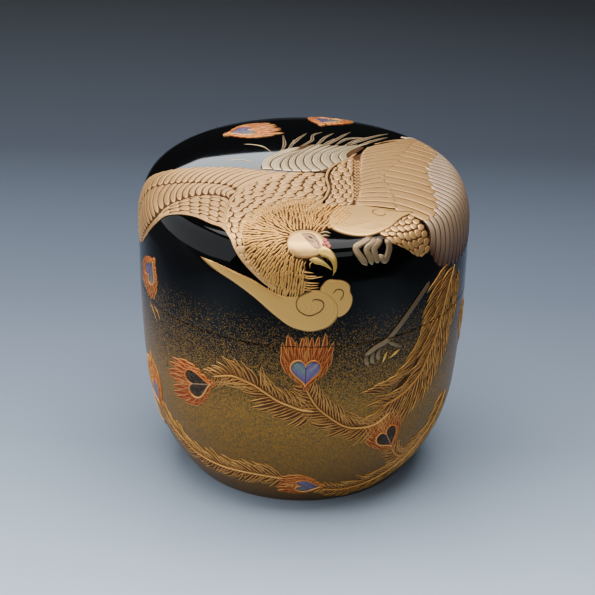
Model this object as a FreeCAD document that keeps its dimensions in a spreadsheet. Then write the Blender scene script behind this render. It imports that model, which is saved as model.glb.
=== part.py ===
import FreeCAD, Part
import math
import os

import Sketcher

# A tea caddy (natsume): a turned wooden box with a lift-off lid, lacquered, with a phoenix
# in raised and inlaid lacquer work. Millimetres, +Z up, the origin under the middle of the foot
# and the face that is decorated towards -Y.

document = FreeCAD.newDocument("tea_caddy")
sheet = document.addObject("Spreadsheet::Sheet", "sizes")

CELLS = {
    "max_radius": 35.79,        # widest radius of the turned shape
    "widest_height": 53.24,     # height of that widest place
    "side_radius": 295.0,       # the side's slow curve
    "side_rise": 1.0,           # degrees of it above the widest place
    "side_fall": 6.2,           # degrees of it below
    "turn_radius": 15.0,        # quicker curve between side and shoulder
    "turn_span": 23.0,
    "shoulder_radius": 4.2,
    "shoulder_span": 47.5,
    "brow_radius": 45.0,
    "crown_radius": 190.0,
    "foot_curve": 39.0,         # curve from the side in to the foot
    "seam_height": 44.08,       # where the lid meets the body
    "seam_gap": 0.1,
    "coat": 0.3,                # outer lacquer
    "lining": 0.2,              # inner lacquer
    "lid_wall": 2.0,
    "body_wall": 3.25,
    "rim_height": 6.0,          # standing rim inside the seam
    "rim_clearance": 0.06,
    "lining_clearance": 0.08,   # between the lid's wood and its inner lacquer
    "floor_height": 3.6,
    "bowl_radius": 8.0,         # inside corner of the floor
    "recess_radius": 21.5,
    "recess_depth": 0.8,
    "high_relief": 0.35,        # built-up lacquer work
    "low_relief": 0.2,
    "inlay": 0.12,              # how far a shell inlay stands proud
}
for row, (name, value) in enumerate(CELLS.items(), start=1):
    sheet.set("A%d" % row, name)
    sheet.set("B%d" % row, str(value))
    sheet.setAlias("B%d" % row, name)
document.recompute()


class Size:
    """A number together with the sheet formula that gives it."""

    def __init__(self, value, formula):
        self.value = value
        self.formula = formula

    def __add__(self, other):
        return Size(self.value + other.value, "(%s + %s)" % (self.formula, other.formula))

    def __sub__(self, other):
        return Size(self.value - other.value, "(%s - %s)" % (self.formula, other.formula))

    def part(self, fraction):
        return Size(self.value * fraction, "%s * %s" % (self.formula, fraction))

    def sine(self, angle):
        value = self.value * math.sin(math.radians(angle.value))
        return Size(value, "%s * sin(%s * 1 deg)" % (self.formula, angle.formula))


def cell(name):
    return Size(CELLS[name], "sizes." + name)


NONE = Size(0.0, "0")
HALF_GAP = cell("seam_gap").part(0.5)
LID_EDGE = cell("seam_height") + HALF_GAP
LEDGE = cell("seam_height") - HALF_GAP
RIM_TOP = LEDGE + cell("rim_height")
RIM_OUTER = cell("max_radius") - cell("lid_wall") - cell("rim_clearance")
LID_LINING_DEPTH = cell("lid_wall") - cell("lining")
LID_CORE_DEPTH = LID_LINING_DEPTH - cell("lining_clearance")
BODY_LINING_DEPTH = cell("body_wall") - cell("lining")


# ---- the turned shape: arcs that run into each other without a corner ----

def polar(angle, length):
    return FreeCAD.Vector(length * math.cos(math.radians(angle)), length * math.sin(math.radians(angle)), 0)


def curve_table():
    """Centre, radius and the angles above the horizontal between which each arc runs."""
    value = CELLS
    side = FreeCAD.Vector(value["max_radius"] - value["side_radius"], value["widest_height"], 0)
    rise = value["side_rise"]
    turn = side + polar(rise, value["side_radius"] - value["turn_radius"])
    turn_end = rise + value["turn_span"]
    shoulder = turn + polar(turn_end, value["turn_radius"] - value["shoulder_radius"])
    shoulder_end = turn_end + value["shoulder_span"]
    brow = shoulder + polar(shoulder_end, value["shoulder_radius"] - value["brow_radius"])
    reach = value["crown_radius"] - value["brow_radius"]
    brow_end = math.degrees(math.acos(brow.x / reach))
    crown = brow + polar(brow_end, -reach)
    fall = value["side_fall"]
    foot = side + polar(-fall, value["side_radius"] - value["foot_curve"])
    return {
        "foot": (foot, value["foot_curve"], -90.0, -fall),
        "side": (side, value["side_radius"], -fall, rise),
        "turn": (turn, value["turn_radius"], rise, turn_end),
        "shoulder": (shoulder, value["shoulder_radius"], turn_end, shoulder_end),
        "brow": (brow, value["brow_radius"], shoulder_end, brow_end),
        "crown": (crown, value["crown_radius"], brow_end, 90.0),
    }


CURVES = curve_table()
LID_CURVES = ("side", "turn", "shoulder", "brow", "crown")
RADIUS_CELL = {"foot": "foot_curve", "side": "side_radius", "turn": "turn_radius",
               "shoulder": "shoulder_radius", "brow": "brow_radius", "crown": "crown_radius"}
HEIGHT = CURVES["crown"][0].y + CURVES["crown"][1]


def angle_at(name, depth, height):
    """Angle at which one of the arcs, moved in by depth, passes a height."""
    centre, radius = CURVES[name][0], CURVES[name][1]
    return math.degrees(math.asin((height - centre.y) / (radius - depth)))


def point_on(name, depth, angle):
    centre, radius = CURVES[name][0], CURVES[name][1]
    return centre + polar(angle, radius - depth)


class Outline:
    """A closed outline in a sketch of its own, on the upright plane through the axis.

    Lines and arcs are added end to end; each addition is tied to the one before it."""

    ORIGIN = (-1, 1)
    UPRIGHT = -2

    def __init__(self, label):
        self.body = document.addObject("PartDesign::Body", label)
        self.body.Label = label
        self.sketch = self.body.newObject("Sketcher::SketchObject", label + "_profile")
        planes = [plane for plane in self.body.Origin.OriginFeatures if plane.Role == "XZ_Plane"]
        self.sketch.AttachmentSupport = [(planes[0], "")]
        self.sketch.MapMode = "FlatFace"
        self.ends = []

    def constrain(self, kind, *parts, size=None):
        if size is None:
            return self.sketch.addConstraint(Sketcher.Constraint(kind, *parts))
        value = math.radians(size.value) if kind == "Angle" else size.value
        index = self.sketch.addConstraint(Sketcher.Constraint(kind, *parts, value))
        self.sketch.setExpression("Constraints[%d]" % index, size.formula)
        return index

    def add(self, geometry, first, last, smooth):
        index = self.sketch.addGeometry(geometry, False)
        if self.ends:
            before = self.ends[-1]
            kind = "Tangent" if smooth else "Coincident"
            self.constrain(kind, before[0], before[2], index, first)
        self.ends.append((index, first, last))
        return index

    def line(self, start, finish, smooth=False):
        return self.add(Part.LineSegment(start, finish), 1, 2, smooth)

    def arc(self, centre, radius, low, high, upward, smooth):
        circle = Part.Circle(centre, FreeCAD.Vector(0, 0, 1), radius)
        geometry = Part.ArcOfCircle(circle, math.radians(low), math.radians(high))
        first, last = (1, 2) if upward else (2, 1)
        return self.add(geometry, first, last, smooth)

    def curve(self, name, depth, low=None, high=None, upward=True, smooth=True):
        """One of the turned shape's arcs, moved in by depth."""
        centre, radius, start, finish = CURVES[name]
        low = start if low is None else low
        high = finish if high is None else high
        index = self.arc(centre, radius - depth.value, low, high, upward, smooth)
        self.constrain("Radius", index, size=cell(RADIUS_CELL[name]) - depth)
        return index

    def point_height(self, index, which, size):
        self.constrain("DistanceY", *self.ORIGIN, index, which, size=size)

    def point_radius(self, index, which, size):
        self.constrain("DistanceX", *self.ORIGIN, index, which, size=size)

    def centre_side(self, index):
        """Pins the middle of the side's arc to the sheet."""
        self.constrain("DistanceX", index, 3, *self.ORIGIN, size=cell("side_radius") - cell("max_radius"))
        self.point_height(index, 3, cell("widest_height"))

    def close(self):
        self.constrain("Coincident", self.ends[-1][0], self.ends[-1][2], self.ends[0][0], self.ends[0][1])

    def revolve(self):
        self.close()
        document.recompute()
        solved = self.sketch.solve()
        if solved != 0 or not self.sketch.FullyConstrained:
            raise RuntimeError("%s: sketch solve %s, fully constrained %s"
                               % (self.body.Label, solved, self.sketch.FullyConstrained))
        turned = self.body.newObject("PartDesign::Revolution", self.body.Label + "_turned")
        turned.Profile = self.sketch
        turned.ReferenceAxis = (self.sketch, ["V_Axis"])
        turned.Angle = 360.0
        self.body.Tip = turned
        return self.body


def lid_curves_up(outline, depth, from_widest):
    """The lid's arcs from its edge, or from the widest place, up to the axis."""
    low = 0.0 if from_widest else angle_at("side", depth.value, LID_EDGE.value)
    side = outline.curve("side", depth, low=low, smooth=from_widest)
    if from_widest:
        outline.point_radius(side, 1, cell("max_radius") - depth)
        outline.point_height(side, 3, cell("widest_height"))
    else:
        outline.centre_side(side)
        outline.point_height(side, 1, LID_EDGE)
    reach = cell("side_radius") - depth
    outline.point_height(side, 2, cell("widest_height") + reach.sine(cell("side_rise")))
    turn = outline.curve("turn", depth)
    outline.constrain("Angle", turn, size=cell("turn_span"))
    shoulder = outline.curve("shoulder", depth)
    outline.constrain("Angle", shoulder, size=cell("shoulder_span"))
    outline.curve("brow", depth)
    crown = outline.curve("crown", depth)
    outline.constrain("PointOnObject", crown, 3, outline.UPRIGHT)
    outline.constrain("PointOnObject", crown, 2, outline.UPRIGHT)
    return side, crown


def lid_curves_down(outline, depth, from_widest):
    """The same arcs from the axis down to the edge, or to the widest place."""
    crown = outline.curve("crown", depth, upward=False, smooth=False)
    outline.constrain("PointOnObject", crown, 3, outline.UPRIGHT)
    outline.constrain("PointOnObject", crown, 2, outline.UPRIGHT)
    outline.curve("brow", depth, upward=False)
    shoulder = outline.curve("shoulder", depth, upward=False)
    outline.constrain("Angle", shoulder, size=cell("shoulder_span"))
    turn = outline.curve("turn", depth, upward=False)
    outline.constrain("Angle", turn, size=cell("turn_span"))
    low = 0.0 if from_widest else angle_at("side", depth.value, LID_EDGE.value)
    side = outline.curve("side", depth, low=low, upward=False)
    reach = cell("side_radius") - depth
    outline.point_height(side, 2, cell("widest_height") + reach.sine(cell("side_rise")))
    if from_widest:
        outline.point_radius(side, 1, cell("max_radius") - depth)
        outline.point_height(side, 3, cell("widest_height"))
    else:
        outline.centre_side(side)
        outline.point_height(side, 1, LID_EDGE)
    return crown, side


def lid_layer(label, outer, inner):
    """One layer of the lid between two depths; its inside is straight below the widest place
    where the depth passes the core, so that the lid slides off the rim."""
    straight_outer = outer.value > CELLS["coat"]
    straight_inner = inner.value > CELLS["coat"]
    outline = Outline(label)
    widest = CELLS["widest_height"]
    if straight_outer:
        radius = CELLS["max_radius"] - outer.value
        edge = FreeCAD.Vector(radius, LID_EDGE.value, 0)
        first = outline.line(edge, FreeCAD.Vector(radius, widest, 0))
        outline.constrain("Vertical", first)
        outline.point_height(first, 1, LID_EDGE)
        lid_curves_up(outline, outer, True)
    else:
        edge = point_on("side", outer.value, angle_at("side", outer.value, LID_EDGE.value))
        lid_curves_up(outline, outer, False)
    top = FreeCAD.Vector(0, HEIGHT - outer.value, 0)
    outline.line(top, FreeCAD.Vector(0, HEIGHT - inner.value, 0))
    lid_curves_down(outline, inner, straight_inner)
    if straight_inner:
        radius = CELLS["max_radius"] - inner.value
        inner_edge = FreeCAD.Vector(radius, LID_EDGE.value, 0)
        last = outline.line(FreeCAD.Vector(radius, widest, 0), inner_edge, smooth=True)
        outline.constrain("Vertical", last)
        outline.point_height(last, 2, LID_EDGE)
    else:
        inner_edge = point_on("side", inner.value, angle_at("side", inner.value, LID_EDGE.value))
    outline.line(inner_edge, edge)
    return outline.revolve()


lid_lacquer = lid_layer("lid_lacquer", NONE, cell("coat"))
lid_core = lid_layer("lid_core", cell("coat"), LID_CORE_DEPTH)
lid_lining = lid_layer("lid_lining", LID_LINING_DEPTH, cell("lid_wall"))


def body_curves_down(outline, depth, top, bottom, smooth=False):
    """The side and the foot's arcs from a height down to another, on the outside of a layer."""
    side = outline.curve("side", depth, high=angle_at("side", depth.value, top.value), upward=False,
                         smooth=smooth)
    outline.centre_side(side)
    outline.point_height(side, 2, top)
    reach = cell("side_radius") - depth
    outline.point_height(side, 1, cell("widest_height") - reach.sine(cell("side_fall")))
    foot = outline.curve("foot", depth, low=angle_at("foot", depth.value, bottom.value), upward=False)
    outline.point_height(foot, 1, bottom)
    return side, foot


def body_curves_up(outline, depth, bottom, top, smooth=False):
    """The same arcs from the bottom up."""
    foot = outline.curve("foot", depth, low=angle_at("foot", depth.value, bottom.value), smooth=smooth)
    outline.point_height(foot, 1, bottom)
    side = outline.curve("side", depth, high=angle_at("side", depth.value, top.value))
    outline.centre_side(side)
    outline.point_height(side, 2, top)
    reach = cell("side_radius") - depth
    outline.point_height(side, 1, cell("widest_height") - reach.sine(cell("side_fall")))
    return foot, side


def on_layer(name, depth, height):
    return point_on(name, depth.value, angle_at(name, depth.value, height.value))


def make_body_lacquer():
    """The outer coat of the body, from the seam down to the edge of the base's own coat."""
    outline = Outline("body_lacquer")
    coat = cell("coat")
    body_curves_down(outline, NONE, LEDGE, coat)
    outline.line(on_layer("foot", NONE, coat), on_layer("foot", coat, coat))
    body_curves_up(outline, coat, coat, LEDGE)
    outline.line(on_layer("side", coat, LEDGE), on_layer("side", NONE, LEDGE))
    return outline.revolve()


body_lacquer = make_body_lacquer()


def make_base_lacquer():
    """The coat under the body: the foot ring that stands on the table and the recess inside it."""
    outline = Outline("base_lacquer")
    coat = cell("coat")
    recess = cell("recess_depth")
    wall = cell("recess_radius")
    vector = FreeCAD.Vector
    ring_edge = on_layer("foot", NONE, NONE)
    ceiling = outline.line(vector(0, recess.value, 0), vector(wall.value, recess.value, 0))
    outline.constrain("Horizontal", ceiling)
    outline.constrain("PointOnObject", ceiling, 1, outline.UPRIGHT)
    outline.point_height(ceiling, 2, recess)
    outline.point_radius(ceiling, 2, wall)
    step = outline.line(vector(wall.value, recess.value, 0), vector(wall.value, 0, 0))
    outline.constrain("Vertical", step)
    sole = outline.line(vector(wall.value, 0, 0), ring_edge)
    outline.constrain("PointOnObject", sole, 1, -1)
    outline.constrain("Horizontal", sole)
    foot = outline.curve("foot", NONE, low=angle_at("foot", 0, 0), high=angle_at("foot", 0, coat.value),
                         smooth=False)
    outline.point_height(foot, 2, coat)
    outline.point_height(foot, 3, Size(CURVES["foot"][0].y, foot_centre_height()))
    centre_radius = Size(CURVES["foot"][0].x, foot_centre_radius())
    outline.constrain("DistanceX", *outline.ORIGIN, foot, 3, size=centre_radius)
    back = outline.line(on_layer("foot", NONE, coat), vector(wall.value + coat.value, coat.value, 0))
    outline.constrain("Horizontal", back)
    inside = wall.value + coat.value
    upper = recess.value + coat.value
    rise = outline.line(vector(inside, coat.value, 0), vector(inside, upper, 0))
    outline.constrain("Vertical", rise)
    outline.point_radius(rise, 1, wall + coat)
    outline.point_height(rise, 2, recess + coat)
    across = outline.line(vector(inside, upper, 0), vector(0, upper, 0))
    outline.constrain("Horizontal", across)
    outline.constrain("PointOnObject", across, 2, outline.UPRIGHT)
    outline.line(vector(0, upper, 0), vector(0, recess.value, 0))
    return outline.revolve()


def foot_centre_height():
    reach = cell("side_radius") - cell("foot_curve")
    return (cell("widest_height") - reach.sine(cell("side_fall"))).formula


def foot_centre_radius():
    reach = "(sizes.side_radius - sizes.foot_curve) * cos(sizes.side_fall * 1 deg)"
    return "sizes.max_radius - sizes.side_radius + " + reach


base_lacquer = make_base_lacquer()


def bowl_arc(depth, floor):
    """Arc that rounds the inside corner between the floor and the foot's arc:
    its middle stands bowl_radius above the floor and is bowl_radius inside that arc."""
    radius = CELLS["bowl_radius"]
    centre, curve = CURVES["foot"][0], CURVES["foot"][1] - depth.value
    height = floor.value + radius
    across = math.sqrt((curve - radius) ** 2 - (height - centre.y) ** 2)
    middle = FreeCAD.Vector(centre.x + across, height, 0)
    touch = math.degrees(math.atan2(middle.y - centre.y, middle.x - centre.x))
    return middle, radius, touch


def inside_up(outline, depth, floor, top):
    """Floor, rounded corner, foot's arc and side, from the axis out and up."""
    middle, radius, touch = bowl_arc(depth, floor)
    flat = outline.line(FreeCAD.Vector(0, floor.value, 0), FreeCAD.Vector(middle.x, floor.value, 0))
    outline.constrain("Horizontal", flat)
    outline.constrain("PointOnObject", flat, 1, outline.UPRIGHT)
    outline.point_height(flat, 1, floor)
    corner = outline.arc(middle, radius, -90, touch, True, True)
    outline.constrain("Radius", corner, size=cell("bowl_radius"))
    foot = outline.curve("foot", depth, low=touch)
    side = outline.curve("side", depth, high=angle_at("side", depth.value, top.value))
    outline.centre_side(side)
    outline.point_height(side, 2, top)
    reach = cell("side_radius") - depth
    outline.point_height(side, 1, cell("widest_height") - reach.sine(cell("side_fall")))
    return foot


def inside_down(outline, depth, floor, top):
    """The same from the top down and in to the axis."""
    middle, radius, touch = bowl_arc(depth, floor)
    side = outline.curve("side", depth, high=angle_at("side", depth.value, top.value), upward=False,
                         smooth=False)
    outline.centre_side(side)
    outline.point_height(side, 2, top)
    reach = cell("side_radius") - depth
    outline.point_height(side, 1, cell("widest_height") - reach.sine(cell("side_fall")))
    outline.curve("foot", depth, low=touch, upward=False)
    corner = outline.arc(middle, radius, -90, touch, False, True)
    outline.constrain("Radius", corner, size=cell("bowl_radius"))
    flat = outline.line(FreeCAD.Vector(middle.x, floor.value, 0), FreeCAD.Vector(0, floor.value, 0),
                        smooth=True)
    outline.constrain("PointOnObject", flat, 2, outline.UPRIGHT)
    outline.point_height(flat, 2, floor)
    outline.constrain("Horizontal", flat)


def make_body_lining():
    """The inner coat: floor, wall, over the lip, down the outside of the rim and out on the ledge."""
    outline = Outline("body_lining")
    lining = cell("lining")
    coat = cell("coat")
    vector = FreeCAD.Vector
    rim = RIM_OUTER.value
    inside_up(outline, cell("body_wall"), cell("floor_height"), RIM_TOP)
    lip = outline.line(on_layer("side", cell("body_wall"), RIM_TOP), vector(rim, RIM_TOP.value, 0))
    outline.constrain("Horizontal", lip)
    outline.point_radius(lip, 2, RIM_OUTER)
    down = outline.line(vector(rim, RIM_TOP.value, 0), vector(rim, LEDGE.value, 0))
    outline.constrain("Vertical", down)
    outline.point_height(down, 2, LEDGE)
    ledge_end = on_layer("side", coat, LEDGE)
    ledge = outline.line(vector(rim, LEDGE.value, 0), ledge_end)
    outline.constrain("Horizontal", ledge)
    edge = outline.curve("side", coat, low=angle_at("side", coat.value, (LEDGE - lining).value),
                         high=angle_at("side", coat.value, LEDGE.value), upward=False, smooth=False)
    outline.centre_side(edge)
    under = outline.line(on_layer("side", coat, LEDGE - lining),
                         vector(rim - lining.value, (LEDGE - lining).value, 0))
    outline.constrain("Horizontal", under)
    outline.point_height(under, 2, LEDGE - lining)
    outline.point_radius(under, 2, RIM_OUTER - lining)
    core_top = RIM_TOP - lining
    up = outline.line(vector(rim - lining.value, (LEDGE - lining).value, 0),
                      vector(rim - lining.value, core_top.value, 0))
    outline.constrain("Vertical", up)
    inner = on_layer("side", BODY_LINING_DEPTH, core_top)
    across = outline.line(vector(rim - lining.value, core_top.value, 0), inner)
    outline.constrain("Horizontal", across)
    floor = cell("floor_height") - lining
    inside_down(outline, BODY_LINING_DEPTH, floor, core_top)
    outline.line(vector(0, floor.value, 0), vector(0, CELLS["floor_height"], 0))
    return outline.revolve()


body_lining = make_body_lining()


def make_body_core():
    """The turned wood: floor, wall and the thin rim that the lid slides over."""
    outline = Outline("body_core")
    lining = cell("lining")
    coat = cell("coat")
    vector = FreeCAD.Vector
    rim = RIM_OUTER - lining
    core_top = RIM_TOP - lining
    ledge = LEDGE - lining
    floor = cell("floor_height") - lining
    inside_up(outline, BODY_LINING_DEPTH, floor, core_top)
    lip = outline.line(on_layer("side", BODY_LINING_DEPTH, core_top), vector(rim.value, core_top.value, 0))
    outline.constrain("Horizontal", lip)
    outline.point_radius(lip, 2, rim)
    down = outline.line(vector(rim.value, core_top.value, 0), vector(rim.value, ledge.value, 0))
    outline.constrain("Vertical", down)
    step = outline.line(vector(rim.value, ledge.value, 0), on_layer("side", coat, ledge))
    outline.constrain("Horizontal", step)
    body_curves_down(outline, coat, ledge, coat)
    inside = cell("recess_radius") + coat
    upper = cell("recess_depth") + coat
    sole = outline.line(on_layer("foot", coat, coat), vector(inside.value, coat.value, 0))
    outline.constrain("Horizontal", sole)
    rise = outline.line(vector(inside.value, coat.value, 0), vector(inside.value, upper.value, 0))
    outline.constrain("Vertical", rise)
    outline.point_radius(rise, 2, inside)
    outline.point_height(rise, 2, upper)
    across = outline.line(vector(inside.value, upper.value, 0), vector(0, upper.value, 0))
    outline.constrain("Horizontal", across)
    outline.constrain("PointOnObject", across, 2, outline.UPRIGHT)
    outline.line(vector(0, upper.value, 0), vector(0, floor.value, 0))
    return outline.revolve()


body_core = make_body_core()


# ---- the decoration: thin pieces of built-up lacquer and shell that lie on the outside ----

FROM_THE_TOP = ("crown", "brow", "shoulder", "turn", "side", "foot")
SPREAD_POINT = FreeCAD.Vector(0, 0, 35.0)     # point on the axis that outlines are spread out from


def outside_point(turn, along):
    """Point on the outside: turn in degrees from the front towards +X, along in millimetres
    of surface from the middle of the lid down."""
    left = along
    for name in FROM_THE_TOP:
        centre, radius, low, high = CURVES[name]
        length = radius * math.radians(high - low)
        if left <= length or name == "foot":
            break
        left -= length
    angle = high - math.degrees(left / radius)
    spot = centre + polar(angle, radius)
    side = math.radians(turn)
    return FreeCAD.Vector(spot.x * math.sin(side), -spot.x * math.cos(side), spot.y)


def lid_point(right, back):
    """Point of the lid's flat pattern: millimetres to the right and to the back of its middle."""
    return outside_point(math.degrees(math.atan2(right, -back)), math.hypot(right, back))


def wrap_point(across, down):
    """Point of the wall's flat pattern: millimetres round the widest girth, millimetres down."""
    return outside_point(math.degrees(across / CELLS["max_radius"]), down)


def wedge(spots, smooth=True):
    """Solid that the outline through the spots sweeps when it spreads from the centre of view."""
    rays = [spot - SPREAD_POINT for spot in spots]
    middle = FreeCAD.Vector(0, 0, 0)
    for ray in rays:
        middle = middle + ray.normalize()
    middle.normalize()
    rings = []
    for reach in (8.0, 75.0):
        ring = [SPREAD_POINT + ray * (reach / ray.dot(middle)) for ray in rays]
        if smooth:
            curve = Part.BSplineCurve()
            curve.interpolate(Points=ring, PeriodicFlag=True)
            rings.append(Part.Wire([curve.toShape()]))
        else:
            rings.append(Part.makePolygon(ring + ring[:1]))
    return Part.makeLoft(rings, True, True)


def layer_over(names, proud, low, high):
    """Ring-shaped solid that lies on the outside between two heights, proud millimetres thick."""
    edges = []
    for offset in (0.0, proud):
        arcs = []
        for name in names:
            centre, radius, start, finish = CURVES[name]
            if name == names[-1]:
                start = angle_at(name, -offset, low)
            if name == names[0] and high is not None:
                finish = angle_at(name, -offset, high)
            middle = 0.5 * (start + finish)
            stops = [point_on(name, -offset, angle) for angle in (finish, middle, start)]
            arcs.append(Part.Arc(*stops).toShape())
        edges.append(arcs)
    inner, outer = edges
    top = Part.makeLine(outer[0].Vertexes[0].Point, inner[0].Vertexes[0].Point)
    bottom = Part.makeLine(inner[-1].Vertexes[1].Point, outer[-1].Vertexes[1].Point)
    profile = Part.Face(Part.Wire(Part.__sortEdges__(inner + [bottom] + outer + [top])))
    profile.rotate(FreeCAD.Vector(0, 0, 0), FreeCAD.Vector(1, 0, 0), 90)
    return profile.revolve(FreeCAD.Vector(0, 0, 0), FreeCAD.Vector(0, 0, 1), 360)


LAYERS = {}


def layer(place, proud_cell):
    """The lid's or the body's outside as a layer of one of the sheet's heights."""
    if (place, proud_cell) not in LAYERS:
        proud = CELLS[proud_cell]
        if place == "lid":
            made = layer_over(FROM_THE_TOP[:5], proud, LID_EDGE.value, None)
        else:
            made = layer_over(("side", "foot"), proud, 2.0, LEDGE.value)
        LAYERS[(place, proud_cell)] = made
    return LAYERS[(place, proud_cell)]


def decorate(label, place, proud_cell, solid, under=()):
    """A decoration piece: the part of the layer inside a wedge, less what lies over it."""
    shape = layer(place, proud_cell).common(solid)
    for upper in under:
        shape = shape.cut(upper)
    shape = Part.makeCompound(shape.Solids) if len(shape.Solids) > 1 else shape.Solids[0]
    piece = document.addObject("Part::Feature", label)
    piece.Label = label
    piece.Shape = shape
    return piece


def lid_wedge(*spots, smooth=True):
    return wedge([lid_point(*spot) for spot in spots], smooth)


def wrap_wedge(*spots, smooth=True):
    return wedge([wrap_point(*spot) for spot in spots], smooth)


def band(path, widths):
    """Outline of a band on the wall: a path of flat-pattern points and the half width at each."""
    left, right = [], []
    for index, (spot, width) in enumerate(zip(path, widths)):
        before = path[max(index - 1, 0)]
        after = path[min(index + 1, len(path) - 1)]
        run = FreeCAD.Vector(after[0] - before[0], after[1] - before[1], 0).normalize()
        left.append((spot[0] - run.y * width, spot[1] + run.x * width))
        right.append((spot[0] + run.y * width, spot[1] - run.x * width))
    return left + right[::-1]


def heart(middle, point_at, width, length):
    """Outline of a heart: two round lobes that run to a point in the direction point_at."""
    spots = []
    aim = math.radians(point_at)
    for step in range(18):
        around = 2 * math.pi * step / 18
        across = 0.5 * width * math.sin(around) ** 3
        lobes = 13 * math.cos(around) - 5 * math.cos(2 * around) - 2 * math.cos(3 * around)
        along = -length * (lobes - math.cos(4 * around) + 2.5) / 29.0
        spots.append((middle[0] + along * math.cos(aim) - across * math.sin(aim),
                      middle[1] + along * math.sin(aim) + across * math.cos(aim)))
    return spots


def flames(middle, point_at, reach, spread, tongues):
    """Outline of the flames round a heart: a ring of tongues that leans away from its point."""
    spots = []
    aim = math.radians(point_at + 180)
    for step in range(4 * tongues):
        around = 2 * math.pi * step / (4 * tongues)
        lick = 1 + 0.12 * math.cos(tongues * around)
        along = reach * (0.3 + lick * math.cos(around))
        across = spread * lick * math.sin(around)
        spots.append((middle[0] + along * math.cos(aim) - across * math.sin(aim),
                      middle[1] + along * math.sin(aim) + across * math.cos(aim)))
    return spots


def round_wall(turn, down):
    """Wall pattern point from degrees round the axis."""
    return (math.radians(turn) * CELLS["max_radius"], down)


# The bird on the lid: what lies uppermost is made first and cut out of what it covers.
head = lid_wedge((-4, -31), (-2, -28.4), (1.5, -27.8), (4.6, -29.8), (5.2, -32.6), (2.6, -34.2),
                 (1.6, -36.2), (-1.4, -36), (-3.4, -34))
beak = lid_wedge((2.4, -34.1), (4.8, -33.2), (6.9, -35.2), (7.6, -38.7), (6, -37.9), (1.8, -36.4), smooth=False)
comb = lid_wedge((3.2, -30.6), (4.9, -31), (5.6, -32.6), (4.8, -33.4), (3.8, -32.4))
thigh = lid_wedge((5, -24), (6.9, -19.8), (9, -18.5), (12, -18.3), (15.6, -18.6), (19.7, -18.6), (23, -18.3),
                  (20.5, -21.2), (18.3, -25), (15.6, -27.7), (13.5, -29.2), (10.3, -29.4), (7.2, -28.8),
                  (5.1, -27.6), smooth=False)
neck = lid_wedge((-2.7, -5.2), (4.5, -5), (5, -12), (3.8, -17), (4.9, -22), (5.2, -28), (5.2, -35),
                 (4.5, -40), (1, -43), (-4, -43.7), (-7.2, -42.7), (-10, -39.5), (-13.3, -35), (-16, -28),
                 (-16.6, -22), (-15.6, -17), (-14.2, -14), (-9.3, -8.6), smooth=False)
left_wing_upper = lid_wedge((-2.7, -5.2), (-9.3, -8.6), (-14.2, -14), (-15.5, -11.5), (-20, -9.5), (-25, -8),
                            (-30, -6.5), (-41, -4), (-40, -1), (-30, 0), (-20, -1.2), (-10, -4), smooth=False)
left_wing_lower = lid_wedge((-41, -4), (-30, -6.5), (-20, -9.5), (-15.5, -11.5), (-14.2, -14), (-15.6, -17),
                            (-16.7, -25), (-16, -28), (-19.5, -24.6), (-25, -20.2), (-29.8, -18), (-38.5, -15.5),
                            (-43, -12), (-44, -7), smooth=False)
right_scapulars = lid_wedge((5, -5), (7, 0), (9.2, 2.3), (11, 2.4), (10.8, -5), (10.6, -12), (9.2, -18.4),
                            (6.6, -20), (4.4, -16), (5, -12), smooth=False)
right_secondaries = lid_wedge((11, 2.4), (13, 8), (22, 9.5), (20.6, 4.3), (18, -1.5), (16.8, -5.2), (18.6, -10.3),
                              (19.2, -13), (18.3, -16.5), (15.6, -18.2), (9.5, -18.2), (10.6, -12), (10.8, -5),
                              smooth=False)
right_primaries = lid_wedge((11, 2.4), (11, 6), (16, 13.5), (22.5, 21.5), (26, 15), (28.3, 8), (26.8, 3),
                            (27, -1.8), (27.7, -6.5), (28.4, -11), (28.4, -15.3), (27.3, -20.5), (23, -18.3),
                            (18.3, -16.5), (19.2, -13), (18.6, -10.3), (16.8, -5.2), (18, -1.5), (20.6, 4.3),
                            (22, 9.5), (13, 8), smooth=False)
wing_tips = lid_wedge((22.5, 21.5), (28, 23), (34, 19), (40, 12), (43.5, 3), (44.5, -6), (43.5, -14), (40, -20),
                      (34, -25), (29.5, -24), (27.3, -20.5), (28.4, -15.3), (28.4, -11), (27.7, -6.5),
                      (27, -1.8), (26.8, 3), (28.3, 8), (26, 15), smooth=False)
back_plumes = lid_wedge((-10, -4), (-2.7, -5.2), (4.6, -5), (7, 0), (9.2, 2.3), (11, 6), (13, 10), (18, 18.5),
                        (12, 15.5), (9, 17.5), (6, 16.5), (2.5, 17), (0, 16.5), (-4.5, 13.5), (-4.5, 8), (-9, 4),
                        smooth=False)
belly = lid_wedge((16.3, -27), (20.8, -21), (23, -19), (26.6, -21.3), (28.4, -24), (28.3, -26), (26.5, -28.6),
                  (22.3, -28.6), (18.4, -29), smooth=False)
front_foot = lid_wedge((13.5, -29.4), (16, -28.4), (18.2, -30.3), (17, -33.4), (15.4, -35.2), (10.8, -33.8),
                       (9.8, -32.2), (12.6, -31), smooth=False)
cloud = lid_wedge((-23.4, -31.4), (-20, -35), (-15, -37.8), (-10.3, -41.3), (-4.8, -43.9), (1, -43), (5, -43.4),
                  (8, -45), (9.9, -46), (9, -49), (6.7, -51.2), (2, -52.4), (-4.2, -50.8), (-10.3, -46.3),
                  (-15.2, -41.3), (-19.5, -37.2), smooth=False)
cloud_lobe = lid_wedge((4.4, -42.6), (5, -40.6), (7.8, -39.6), (11.2, -40.3), (12.6, -42.4), (13.2, -44.4),
                       (11.7, -47.3), (9.9, -48), (8.6, -44.4))

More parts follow.
